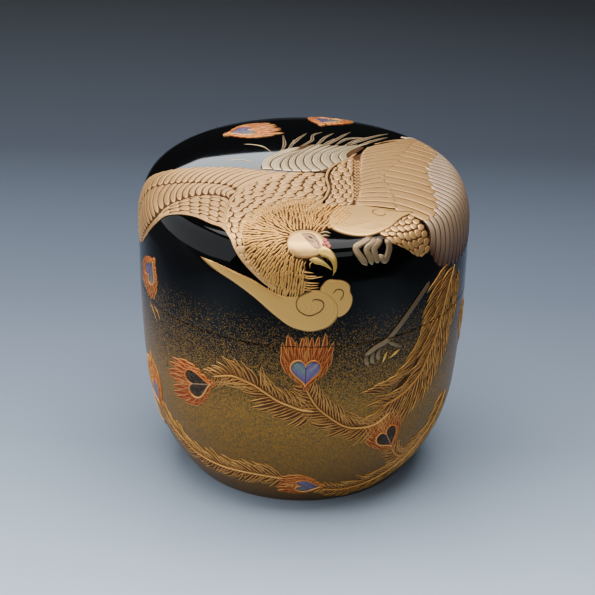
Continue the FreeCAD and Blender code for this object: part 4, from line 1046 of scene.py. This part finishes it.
spike_paths = [[(-5.6, 4.6), (-4.6, 9.6), (-5, 15.9)], [(-3.6, 7.6), (-1.9, 12.6), (0.2, 17.3)],
               [(-1.4, 8.4), (1.3, 12.4), (1.6, 16), (3.6, 18.4)],
               [(1.4, 8), (3.2, 11.7), (4.2, 14.6), (6.2, 18.1)],
               [(4.4, 9.4), (6.6, 13.4), (9.9, 19.6)], [(6.4, 10), (9, 14.4), (12.6, 16.4)],
               [(8.6, 9.6), (12.4, 14.4), (18.4, 21.4)], [(10.6, 9.8), (13.8, 13.4), (18.2, 18.3)],
               [(-3.8, 6.8), (-2.8, 10.6), (-2.6, 13)], [(3, 8.6), (5.2, 12), (6.4, 14.6)],
               [(8.6, 10.8), (11.2, 14), (14.8, 17.6)]]
relief("plume_ground", [ground([(-10, -3.6), (-9.6, 0), (-7.6, 4.4), (-4, 7.6), (0, 10)],
                               [(5.2, -4.6), (6.8, -0.4), (9, 2.6), (11.4, 6.4), (13.4, 10.4)], 0.05, "lid")],
       brown_ground, "lid", ["back_plumes"])
crescents = np.array([smooth_path(path, 26) for path in plume_paths])
plumes = [strips(crescents[:-1], crescents[1:], 0.22, 0.09, PAD, "lid", (0.0, 0.3), base=0.06)]
inner = [crescents[:-1] * (1 - part) + crescents[1:] * part for part in (0.30, 0.62)]
plumes += [lines(path, 1.15, 0.22, LEAF, "lid", count=26, taper=0.8) for path in spike_paths]
relief("plumes", plumes, silver_gold, "lid")
relief("plume_lines", [lines(path[2:20], 0.16, 0.03, HAIR, "lid", count=30, taper=0.3, base=0.14)
                       for path in np.vstack(inner)], line_brown, "lid")

# %% [markdown]
# ## The thigh
# The thigh is a smooth burnished plaque with a curl and a few fine strokes drawn on it. It is left
# nearly bare on the real piece too, as a calm place between the feathers.

# %% The thigh
thigh_outline = closed_path([(5, -24.2), (6.2, -21), (8.6, -18.9), (12, -18.4), (16, -18.7), (20, -18.7),
                             (23, -18.4), (20.6, -21.2), (18.3, -25), (15.6, -27.7), (13, -29.2),
                             (10, -29.5), (7.2, -28.8), (5.3, -27.2)], 96)
relief("thigh", [plaque(thigh_outline, 0.32, "lid", (12, -23.8), roll=0.12)], smooth_gold, "lid",
       ["phoenix_thigh"])
curl_turn = np.linspace(0.3, 5.6, 26)
thigh_curl = np.stack([15.6 + 1.35 * np.cos(curl_turn + 1.2), -20.8 + 1.1 * np.sin(curl_turn + 1.2)], -1)
thigh_lines = [lines(thigh_curl, 0.32, 0.05, HAIR, "lid", count=40, base=0.31),
               lines([(16.6, -19.6), (18.6, -19.6), (21, -19.1), (23, -18.6)],
                     0.3, 0.05, HAIR, "lid", base=0.30)]
grain_places = [(7.4 + 0.9 * number, -26.6 + 0.55 * (number % 5)) for number in range(9)]
thigh_lines += [lines([(x, y), (x + 1.6, y - 0.1), (x + 3.2, y + 0.1)],
                      0.10, 0.03, HAIR, "lid", count=10, base=0.31) for x, y in grain_places]
relief("thigh_lines", thigh_lines, line_brown, "lid")

# %% [markdown]
# The belly is a field of small feathers like the neck, only shorter, between the thigh and the
# wing.

# %% The belly
belly_left = [(15.4, -27.8), (18.2, -24.8), (20.5, -21.4), (22.6, -19.2)]
belly_right = [(18.2, -29.4), (22.4, -29.2), (26.6, -29), (29, -26)]
relief("belly_ground", [ground(belly_left, belly_right, 0.16, "lid", rows=30)], brown_ground, "lid",
       ["phoenix_belly"])
edge_a, edge_b = feather_rows(Field(belly_left, belly_right), 7, 1.75, shares=(0.02, 0.98))
relief("belly_feathers", [strips(edge_a, edge_b, 0.18, 0.1, PAD, "lid", (0.25, 0.6), base=0.15)], pale_gold,
       "lid")

# %% [markdown]
# The front foot is a fist of four toes. Each toe is one thick line that bends back, which is how
# the brush drew it.

# %% The front foot
toe_paths = [[(14.3, -28.9), (12.7, -30.6), (10.9, -32.5), (12.4, -34.2), (14.3, -35.4)],
             [(15.2, -28.9), (14.3, -30.7), (13.3, -32.4), (14.6, -33.9), (15.4, -35)],
             [(16.1, -28.7), (15.5, -30.4), (14.9, -31.8), (15.9, -33.4), (16.8, -34.2)],
             [(17, -28.7), (18, -29.9), (18.3, -31.5), (18, -33.2), (16.3, -32.5)]]
relief("front_foot", [lines(path, 1.5, 0.34, PAD, "lid", count=30, taper=0.12) for path in toe_paths],
       claw_gold, "lid", ["front_foot"])

# %% [markdown]
# ## The cloud
# The cloud is one smooth body with a long tail, a second lobe at its right, and spiral lines drawn
# on it. Two plaques at different heights keep the lobe behind the body.

# %% Cloud
cloud_outline = closed_path([(-23.6, -31.2), (-20, -34.4), (-15, -37.6), (-10.3, -41), (-7.2, -42.9),
                             (-4, -44), (-0.6, -43.9), (2.6, -42.5), (5.6, -42.7), (8.1, -43.8),
                             (10, -45.6), (10.3, -48), (9, -50), (6.7, -51.4), (3, -52.3), (-0.6, -52),
                             (-4.2, -50.8), (-8.6, -47.6), (-12.8, -43.4), (-17.3, -38.9),
                             (-21.5, -34.6)], 150)
lobe_outline = closed_path([(4.4, -42.9), (4.8, -41), (6, -39.9), (7.8, -39.7), (9.8, -39.7),
                            (11.4, -40.4), (12, -41.8), (13, -42.9), (13.3, -44.4), (12.9, -46),
                            (11.8, -47.4), (10, -48.1), (8, -46)], 90)
relief("cloud_lobe", [plaque(lobe_outline, 0.2, "lid", (8.8, -43.6), roll=0.16)], cloud_gold, "lid",
       ["cloud_lobe"])
relief("cloud", [plaque(cloud_outline, 0.3, "lid", (-1.5, -46.6), roll=0.14)], cloud_gold, "lid",
       ["cloud"])
cloud_spiral = [(2.4, -45.3), (3.1, -44.6), (5, -44.8), (5.7, -46), (4.5, -47.5), (1.8, -48.4),
                (-0.8, -47.4), (-1.6, -45.6), (-0.5, -43.8), (2.4, -42.6)]
lobe_spiral = [(7.5, -42.9), (8.4, -41.8), (9.7, -41.8), (10.3, -42.8), (9.7, -44.3)]
cloud_lines = [lines(cloud_spiral, 0.42, 0.06, HAIR, "lid", count=90, taper=0.06, base=0.29),
               lines(lobe_spiral, 0.38, 0.06, HAIR, "lid", count=40, taper=0.1, base=0.19)]
relief("cloud_lines", cloud_lines, line_brown, "lid")

# %% [markdown]
# ## Ridges that cross the seam
# Some flames, the hind leg and the tail's trunk run over the seam between lid and body. A Boolean
# could cut them in two, but it is slow and leaves rough edges on hundreds of thin ridges. Instead
# they are laid twice, once for the lid and once for the body, from the same random draws. Each
# time the part beyond the seam is held at the edge under the lacquer, and its faces are left out.

# %% Two halves of a crossing piece
SEAM_LAP = 0.02         # mm by which a ridge stops short of the rounded edge


def lid_side(flat, proud):
    """The lid's part: what lies past the lid's edge is held at the edge, under the lacquer."""
    edge = lid_stop - SEAM_LAP
    held = np.stack([flat[..., 0], np.minimum(flat[..., 1], edge)], -1)
    return on_wall(held, np.where(flat[..., 1] > edge, -SINK, proud))


def body_side(flat, proud):
    """The body's part, held at the body's edge in the same way."""
    edge = body_start + SEAM_LAP
    held = np.stack([flat[..., 0], np.maximum(flat[..., 1], edge)], -1)
    return on_wall(held, np.where(flat[..., 1] < edge, -SINK, proud))


CHARTS.update(lid_side=lid_side, body_side=body_side)


def crossing(names, make_blocks, material, replaced):
    """The lid's part and the body's part of one relief. make_blocks(chart) lays the ridges."""
    state = draws.bit_generator.state
    for name, chart, body, node in zip(names, ("lid_side", "body_side"), ("lid", "caddy"), replaced):
        draws.bit_generator.state = state
        points, faces, notes, flat = join_blocks(make_blocks(chart))
        here = (flat[:, 1] < lid_stop - SEAM_LAP if chart == "lid_side"
                else flat[:, 1] > body_start + SEAM_LAP)
        faces = [block[here[block].any(axis=1)] for block in faces]
        used = np.unique(np.concatenate([block.ravel() for block in faces]))
        fresh = np.zeros(len(points), int)
        fresh[used] = np.arange(len(used))
        make_piece(name, points[used], [fresh[block] for block in faces], material, body, node,
                   {key: value[used] for key, value in notes.items()})


# %% [markdown]
# ## Hearts of shell and their flames
# Each tail feather ends in a heart of iridescent shell inside a gold rim, with flames that sweep
# back from it. The shell is cut into thin strips that meet in a V. They could be modelled, but
# they are level with each other, so the finish draws them: it reads each point's place across and
# along the heart, counts the strips and gives each its own colour.

# %% Shell finish
def shell_finish(name, bright, joint_colour, joint_width):
    """Strips of shell laid in a V: every strip has its own colour, and joint_width (a share of a
    strip) of joint_colour lies between them."""
    material, build, shader = new_finish(name)
    across, along = note_value(build, "across"), note_value(build, "along")
    spread = build.maths("ABSOLUTE", across)
    place = build.node("ShaderNodeTexCoord", output=3)
    waves = build.node("ShaderNodeTexNoise", {0: place, 2: 700.0, 3: 3.0})
    count = (along + spread * 1.1 + waves * 0.05) * 8.0
    strip = build.maths("FLOOR", count)
    inside_strip = build.maths("FRACT", count)
    side = build.maths("SIGN", across)
    pick = build.node("ShaderNodeTexWhiteNoise", {1: strip + side * 0.37}, output=0, noise_dimensions="1D")
    hue = pick * 0.55 + waves * 0.5 + spread * 0.2 - 0.05
    stops = [(0.0, (0.46, 0.22, 0.38)), (0.3, (0.30, 0.17, 0.38)), (0.5, (0.17, 0.12, 0.30)),
             (0.7, (0.20, 0.24, 0.34)), (0.85, (0.28, 0.36, 0.26)), (1.0, (0.55, 0.32, 0.34))]
    stops = [(at, tuple(bright * part for part in colour)) for at, colour in stops]
    colours = build.node("ShaderNodeValToRGB", {0: hue}, stops=stops)
    from_joint = 0.5 - build.maths("ABSOLUTE", inside_strip - 0.5)
    joint = build.maths("MINIMUM", from_joint.clipped(0.3 * joint_width, joint_width),
                        spread.clipped(0.01, 0.05))
    fleck = build.node("ShaderNodeTexNoise", {0: place, 2: 3200.0, 3: 3.0, 4: 0.7})
    mask = joint * fleck.clipped(0.25, 0.42)
    bump = build.node("ShaderNodeBump", {"Strength": 0.3, "Distance": 0.00004, "Height": joint})
    feed(build, shader, Base_Color=mask.blend(joint_colour, colours), Metallic=mask * 0.55,
         Roughness=fleck * 0.15 + 0.18, Normal=bump)
    shader.inputs["Specular IOR Level"].default_value = 0.15
    return material


violet_shell = shell_finish("violet shell", 1.0, rgb(0.04, 0.015, 0.03), 0.24)
dark_shell = shell_finish("dark shell", 0.012, rgb(0.45, 0.25, 0.12), 0.07)


# %% [markdown]
# The heart's outline is a known curve. The flames grow from the same curve made larger, in three
# rings, so they keep the heart's shape however it lies.

# %% Hearts, flames and their ground
def compass(aim):
    """Unit direction at aim degrees from the first axis of a pattern."""
    return np.array([math.cos(math.radians(aim)), math.sin(math.radians(aim))])


def heart(place, aim, width, length, grow=1.0, turn=None):
    """Outline of a heart round place with its point towards aim (degrees): across is half the width
    times sine cubed, along is a short sum of cosines."""
    turn = np.linspace(-np.pi, np.pi, 96, endpoint=False) if turn is None else turn
    across = 0.5 * width * np.sin(turn) ** 3
    lobes = 13 * np.cos(turn) - 5 * np.cos(2 * turn) - 2 * np.cos(3 * turn) - np.cos(4 * turn)
    along = -length * (lobes + 2.5) / 29
    way = compass(aim)
    return np.asarray(place) + grow * (along[:, None] * way + across[:, None] * sideways(way))


def heart_notes(place, aim, width, length):
    """Numbers for the shell: place across and along the heart, both about -1 to 1."""
    way = compass(aim)

    def measure(flat):
        away = flat - np.asarray(place)
        return {"across": away @ sideways(way) / (0.5 * width), "along": away @ way / (0.5 * length)}
    return measure


def flame_blocks(place, aim, width, length, chart, reach=1.0):
    """Three rings of leaves that sweep back from the heart: long broad tongues, shorter ones over
    them, and a close ring at the heart's edge."""
    way = compass(aim)
    blocks = []
    for grow, count, long, wide, rise, base, back in ((1.34, 24, 4.0, 1.60, 0.13, 0.06, 1.5),
                                                     (1.16, 24, 2.8, 1.15, 0.13, 0.11, 1.2),
                                                     (1.02, 26, 1.6, 0.80, 0.13, 0.16, 0.8)):
        turn = np.linspace(-0.94, 0.94, count) * np.pi + draws.uniform(-0.03, 0.03, count)
        roots = heart(place, aim, width, length, grow, turn)
        larger = heart(place, aim, width, length, grow + 0.1, turn)
        out = larger - heart(place, aim, width, length, grow - 0.1, turn)
        out /= np.maximum(np.hypot(out[:, :1], out[:, 1:]), 1e-6)
        heading = out - back * way
        angle = np.arctan2(heading[:, 1], heading[:, 0])
        behind = 0.5 - 0.5 * (out @ way)
        side = np.sign(np.sin(turn))
        bend = side * (0.15 + 0.55 * (1 - behind)) + draws.normal(0, 0.16, count)
        lengths = reach * long * (0.7 + 0.75 * behind ** 2) * draws.uniform(0.85, 1.15, count)
        blocks.append(leaves(roots - heading * 0.35, angle, lengths, bend, wide, rise, LEAF, chart, steps=10,
                             shape=swell(10, 0.35, 1.0, 0.55), base=base))
    rim = heart(place, aim, width, length, 1.02)
    rim = np.vstack([rim, rim[:1]])
    ways = slopes(rim[None])
    blocks.append(tube_block(rim[None], sideways(ways) * 0.24, np.full((1, len(rim)), 0.34), HAIR, chart,
                             0.1))
    return blocks


def flame_bed(place, aim, width, length, chart):
    """Low red ground under the flames."""
    back = compass(aim) * -0.16 * length
    return plaque(heart(place + back, aim, width * 0.98, length * 0.98, 1.7)[::2], 0.06, chart,
                  np.asarray(place) + back, roll=0.1)


# %% [markdown]
# Each heart is placed by its middle, the direction of its point, its width and length, and how far
# its flames reach. Places on the wall are degrees round from the front and mm down the surface;
# places on the lid are mm from its middle. One loop makes all ten.

# %% Every eye of the tail
EYES = [("centre", wall_places((1.7, 62.4))[0], 90, 6.4, 6.3, "wall", 1.15),
        ("left", wall_places((-38, 69.8))[0], -18, 6.6, 7.2, "wall", 1.1),
        ("right", wall_places((34.5, 82.2))[0], 60, 5.6, 6.2, "wall", 1.0),
        ("lower", wall_places((4.5, 94.3))[0], 5, 4.6, 7.0, "wall", 0.85),
        ("far_left", wall_places((-67, 80))[0], 60, 5.4, 6.0, "wall", 1.0),
        ("back_left", wall_places((-128, 70))[0], 40, 6.0, 6.6, "wall", 1.0),
        ("back_right", wall_places((142, 78))[0], 150, 6.0, 6.6, "wall", 1.0),
        ("upper_left", wall_places((-64.5, 49))[0], -60, 5.2, 6.2, "wall", 0.85),
        ("back_left_top", np.array([-14.4, 18.6]), 200, 6.2, 6.2, "lid", 1.0),
        ("back_middle_top", np.array([4.5, 27.0]), 250, 6.2, 6.2, "lid", 0.9)]
ON_LID = ("upper_left", "back_left_top", "back_middle_top")
for name, place, aim, width, length, chart, reach in EYES:
    body = "lid" if name in ON_LID else "caddy"
    inlay = plaque(heart(place, aim, width, length), 0.3, chart, place, roll=0.2, base=0.0,
                   notes_of=heart_notes(place, aim, width, length))
    inlay_finish = dark_shell if name in ("left", "right") else violet_shell
    relief(name + "_shell", [inlay], inlay_finish, body, [name + "_heart"])
    relief(name + "_bed", [flame_bed(place, aim, width, length, chart)], flame_ground, body)
    if name == "centre":
        crossing(("centre_fire_tips", "centre_fire"),
                 lambda side: flame_blocks(place, aim, width, length, side, reach),
                 flame_gold, (["centre_flame_tips"], ["centre_flames"]))
        continue
    relief(name + "_fire", flame_blocks(place, aim, width, length, chart, reach), flame_gold, body,
           [name + "_flames"])

# %% [markdown]
# ## The tail feathers
# A tail feather is a stem with leaf-shaped barbs on both sides. The barbs lean towards the heart at
# the feather's end; they are short there and grow longer towards the bird. They are real ridges,
# not a texture with transparent gaps, because the gold ground has to show between them at every
# angle.

# %% Barbs along a stem
def vane(stem, chart, reach=(3.0, 6.0), pitch=0.95, lean=0.95, width=1.25, rows=1):
    """Barbs on both sides of a stem that starts at the heart. The barbs' directions are the stem's
    direction back to the heart, turned outwards by lean."""
    fine = smooth_path(stem, 400)
    length = np.hypot(*np.diff(fine, axis=0).T).sum()
    count = int(length / pitch)
    share = (np.arange(count) + 0.5) / count
    index = np.clip((share * 399).astype(int), 0, 399)
    back = -slopes(fine[None])[0][index]
    blocks = []
    for side in (-1, 1):
        for row in range(rows):
            angle = np.arctan2(back[:, 1], back[:, 0]) + side * (lean + draws.normal(0, 0.10, count))
            long = np.interp(share, [0, 0.35, 1], [reach[0], reach[1], reach[1]])
            long = long * draws.uniform(0.82, 1.12, count)
            aside = sideways(back) * side * row * 0.55 * reach[1]
            bend = -side * draws.uniform(0.3, 1.0, count)
            blocks.append(leaves(fine[index] + aside, angle, long, bend,
                                 width * draws.uniform(0.8, 1.1, count), 0.15,
                                 LEAF, chart, steps=10, shape=swell(10, 0.4, 1.0, 0.5), base=0.06))
    blocks.append(lines(stem, 0.55, 0.22, HAIR, chart, count=90, taper=0.04, base=0.1))
    return blocks


def vane_bed(stem, chart, wide):
    """Low brown ground under a vane."""
    path = smooth_path(stem, 60)
    aside = sideways(slopes(path[None]))[0]
    share = np.linspace(0, 1, 60)
    spread = wide * np.clip(np.minimum(0.35 + 1.8 * share, 0.12 + 5 * (1 - share)), 0, 1)[:, None]
    return [ground(path + aside * spread, path - aside * spread, 0.05, chart, rows=60)]


# %% [markdown]
# The stems are given by a few places each, in degrees round and mm down, and start at the heart.
# The last two lie out of sight from the front.

# %% The stems
STEMS = {
    "centre": [(1.7, 66), (5.5, 70.5), (10.4, 73.6), (15.8, 76.2), (21.3, 77.3), (28, 77.2), (34, 75)],
    "left": [(-32, 66.7), (-24.5, 65.2), (-20, 65.6), (-15.8, 66.5), (-11.7, 68), (-7.7, 69.6),
             (-3.7, 70.6), (0.3, 71.5), (5.5, 72)],
    "right": [(37, 85.4), (42, 89), (48, 90), (55, 88), (62, 84), (68, 78)],
    "lower": [(10, 96), (20, 97), (30, 96.5), (40, 94.5), (50, 91), (58, 86)],
    "far_left": [(-62, 83.4), (-57, 86.5), (-51, 88.5), (-45, 90.6), (-33, 91.5), (-24, 91.3),
                 (-13.5, 91.2), (-5.5, 91.6)],
    "back_left": [(-123.5, 73.8), (-118, 77.5), (-112, 80), (-104, 83.5), (-96, 86), (-88, 88), (-80, 89),
                  (-70, 89)],
    "back_right": [(133.5, 79.5), (127, 80.4), (120, 80), (113, 78.6), (105.7, 76), (98, 73),
                   (91.3, 69.5), (84, 65), (77, 59.5)],
}
for name, stem in STEMS.items():
    places = wall_places(*stem)
    relief(name + "_vane_bed", vane_bed(places, "wall", 2.7), brown_ground, "caddy")
    relief(name + "_barbs", vane(places, "wall"), barb_gold, "caddy", [name + "_vane"])

# %% [markdown]
# Two short strokes hang below the upper left heart, as the start of its stem.

# %% Small stems under the upper left eye
stems = [wall_places(*path) for path in ([(-67, 57.4), (-64, 58.4), (-61, 60.6)],
                                         [(-63, 57.2), (-60, 58.0), (-58.5, 59.6)])]
relief("upper_left_stems", [lines(path, 0.45, 0.16, HAIR, "wall", count=16, taper=0.6) for path in stems],
       barb_gold, "caddy")

# %% [markdown]
# The trunk is the thick bundle from which the tail feathers part: a stem with two rows of barbs on
# each side. It comes down off the lid, so both the trunk and its ground are laid as crossings.

# %% The trunk, over the seam
trunk = wall_places((30, 73), (36.5, 71.9), (41, 70.6), (46, 68.3), (50, 64.5), (54, 60), (57, 55),
                    (60, 50), (64, 46))
crossing(("trunk_bed_root", "trunk_bed"), lambda side: vane_bed(trunk, side, 5.2), brown_ground,
         ((), ()))
crossing(("trunk_barbs_root", "trunk_barbs"),
         lambda side: vane(trunk, side, (5.0, 6.4), 1.0, 0.8, 1.25, rows=2), barb_gold,
         (["tail_root"], ["tail_trunk"]))

# %% [markdown]
# The hind leg also leaves the lid. Its shank crosses the seam, and its toes and nails lie on the
# body alone.

# %% The hind leg, over the seam
leg = wall_places((48, 46), (45, 47.6), (39.5, 50.8), (33.5, 54.6), (30, 56.6), (26, 57.6), (22, 59.2))
toes = [wall_places(*path) for path in (
    [(23, 58.9), (22.3, 60.2), (23.5, 61.8)], [(25.5, 58.3), (24.5, 60.2), (25.5, 61.6)],
    [(28, 57.8), (26.7, 59.4), (27.5, 61)], [(36.5, 59.2), (33.5, 58.1), (30.5, 56.9)])]
nails = [wall_places(*path) for path in ([(30.5, 59.4), (29.5, 60.6), (29, 61.8)],
                                         [(35.8, 59.6), (33.4, 60.4), (31.6, 61.2)])]
crossing(("hind_leg_top", "hind_leg_low"),
         lambda side: [lines(leg, 1.1, 0.34, PAD, side, count=70, taper=0.05)], leg_gold,
         (["hind_leg"], ["hind_shank"]))
relief("hind_toes", [lines(path, 0.95, 0.32, PAD, "wall", count=20, taper=0.25) for path in toes], leg_gold,
       "caddy", ["hind_claw"])
relief("hind_nails", [lines(path, 0.7, 0.4, HAIR, "wall", count=16, taper=0.5) for path in nails],
       beak_gold, "caddy")

# %% [markdown]
# ## Bare wood
# The turned cores are never seen from outside. They get a plain fine-grained wood.

# %% Wood
def wood_finish():
    """Turned wood: rings round a distant heart, stretched pores along the grain."""
    material, build, shader = new_finish("turned wood")
    place = build.node("ShaderNodeTexCoord", output=3)
    stretched = build.node("ShaderNodeMapping", {0: place, 3: (1.0, 1.0, 0.12)})
    rings = build.node("ShaderNodeTexNoise", {0: stretched, 2: 180.0, 3: 4.0})
    pores = build.node("ShaderNodeTexNoise", {0: stretched, 2: 2200.0, 3: 3.0})
    bump = build.node("ShaderNodeBump", {"Strength": 0.2, "Distance": 0.00003, "Height": pores})
    feed(build, shader, Base_Color=rings.blend(rgb(0.28, 0.16, 0.08), rgb(0.52, 0.36, 0.20)),
         Roughness=pores * 0.2 + 0.5, Normal=bump)
    return material


wood = wood_finish()
for name in ("body_core", "lid_core"):
    for material_slot in bpy.data.objects[name].material_slots:
        material_slot.material = wood

# %% [markdown]
# ## The table
# The sheet is one flat square whose colour holds painted shade in place of the lamps' fall-off:
# it fades from pale grey-blue at the front to slate at the back, and is dark again far in front.
# Far out to both sides it is painted darker, so that the caddy's steep side mirrors a dark table.

# %% The table
def table_finish():
    """Plain matt sheet with painted shade: a ramp of colours from front to back, dimmed far out to both
    sides and a little more on the right."""
    material, build, shader = new_finish("table sheet")
    place = build.node("ShaderNodeTexCoord", output=3)
    right = build.node("ShaderNodeSeparateXYZ", {0: place}, output=0)
    back = build.node("ShaderNodeSeparateXYZ", {0: place}, output=1)
    aside = build.maths("ABSOLUTE", right)
    grain = build.node("ShaderNodeTexNoise", {0: place, 2: 1500.0, 3: 2.0})
    stops = [(0.0, (0.05, 0.06, 0.07)), (0.19, (0.50, 0.60, 0.72)), (0.348, (0.235, 0.288, 0.360)),
             (0.504, (0.122, 0.150, 0.203)), (0.698, (0.034, 0.042, 0.058)),
             (0.952, (0.0045, 0.0060, 0.0085))]
    # Painted shade: the ramp stands in for the light falling off towards the back, and its dark first stop
    # darkens the sheet far in front.
    painted_falloff_shade = build.node("ShaderNodeValToRGB", {0: back.clipped(-0.16, 0.30)}, stops=stops)
    # Painted shade, darker far out to both sides and a little more on the right.
    painted_side_shade = (1 - aside.clipped(0.095, 0.14) * 0.8) * (1 - right.clipped(0.02, 0.20) * 0.2)
    feed(build, shader, Base_Color=dimmed(build, painted_falloff_shade, painted_side_shade), Roughness=grain * 0.1 + 0.6)
    shader.inputs["Specular IOR Level"].default_value = 0.2
    return material


TABLE_REACH = 3.0
table_corners = [(-TABLE_REACH, -TABLE_REACH, 0.0), (TABLE_REACH, -TABLE_REACH, 0.0),
                 (TABLE_REACH, TABLE_REACH, 0.0), (-TABLE_REACH, TABLE_REACH, 0.0)]
floor_mesh = bpy.data.meshes.new("table_sheet")
floor_mesh.from_pydata(table_corners, [], [(0, 1, 2, 3)])
floor = bpy.data.objects.new("table_sheet", floor_mesh)
bpy.context.scene.collection.objects.link(floor)
floor_mesh.materials.append(table_finish())
print("table sheet %.0f m wide" % (2 * TABLE_REACH))

# %% [markdown]
# ## Lamps
# A wide lamp hangs overhead, a broad one stands on the left, one fills in from the front, and a
# small one far behind is mirrored in the lid. Black lacquer shows little but what it mirrors, so
# the edges of these lamps draw its shape.

# %% Lamps and world
def lamp(name, place, target, size, power, colour=(1.0, 1.0, 1.0)):
    """Rectangular area lamp at place, facing target; size is (width, height) in metres."""
    data = bpy.data.lights.new(name, "AREA")
    data.shape = "RECTANGLE"
    data.size, data.size_y = size
    data.energy = power
    data.color = colour
    made = bpy.data.objects.new(name, data)
    bpy.context.scene.collection.objects.link(made)
    away = Vector(place) - Vector(target)
    made.matrix_world = Matrix.Translation(place) @ away.to_track_quat("Z", "Y").to_matrix().to_4x4()


lamp("overhead", (0.0, 0.10, 1.3), (0, 0, 0.05), (1.3, 1.1), 32.0)
lamp("left window", (-0.88, -0.12, 0.50), (0, 0, 0.05), (1.5, 1.1), 11.5, (0.93, 0.96, 1.0))
lamp("front fill", (0.35, -1.2, 0.85), (0, 0, 0.04), (0.9, 0.6), 4.0, (0.95, 0.97, 1.0))
lamp("back window", (-0.185, 1.34, 0.70), (0, 0, 0.06), (0.34, 0.22), 2.1, (0.88, 0.94, 1.0))
world = bpy.data.worlds.new("studio")
world.use_nodes = True
background = world.node_tree.nodes["Background"]
background.inputs["Color"].default_value = rgb(0.90, 0.95, 1.0)
background.inputs["Strength"].default_value = 0.015
bpy.context.scene.world = world

# %% [markdown]
# ## Camera
# The camera looks down at the caddy with a long lens, so that its sides stay nearly upright. Its
# three directions are worked out from a tilt and a slight roll, and it stands back along its own
# line of sight.

# %% Camera
CAMERA_TILT = math.radians(27.376)
CAMERA_ROLL = math.radians(1.259)
CAMERA_DISTANCE = 0.6
AIM_HEIGHT = 0.037224
AIM_ASIDE = 0.0010174

camera_data = bpy.data.cameras.new("camera")
camera_data.lens = 164.56
camera_data.sensor_width = 36.0
camera_data.clip_start = 0.01
camera = bpy.data.objects.new("camera", camera_data)
bpy.context.scene.collection.objects.link(camera)
level = Vector((1.0, 0.0, 0.0))
forward = Vector((0.0, math.cos(CAMERA_TILT), -math.sin(CAMERA_TILT)))
level_up = level.cross(forward)
right_way = level * math.cos(CAMERA_ROLL) + level_up * math.sin(CAMERA_ROLL)
up_way = level_up * math.cos(CAMERA_ROLL) - level * math.sin(CAMERA_ROLL)
stand = Vector((0.0, 0.0, AIM_HEIGHT)) - forward * CAMERA_DISTANCE - right_way * AIM_ASIDE
facing = Matrix((right_way, up_way, -forward)).transposed().to_4x4()
camera.matrix_world = Matrix.Translation(stand) @ facing
bpy.context.scene.camera = camera
print("camera at", tuple(round(value, 3) for value in stand))
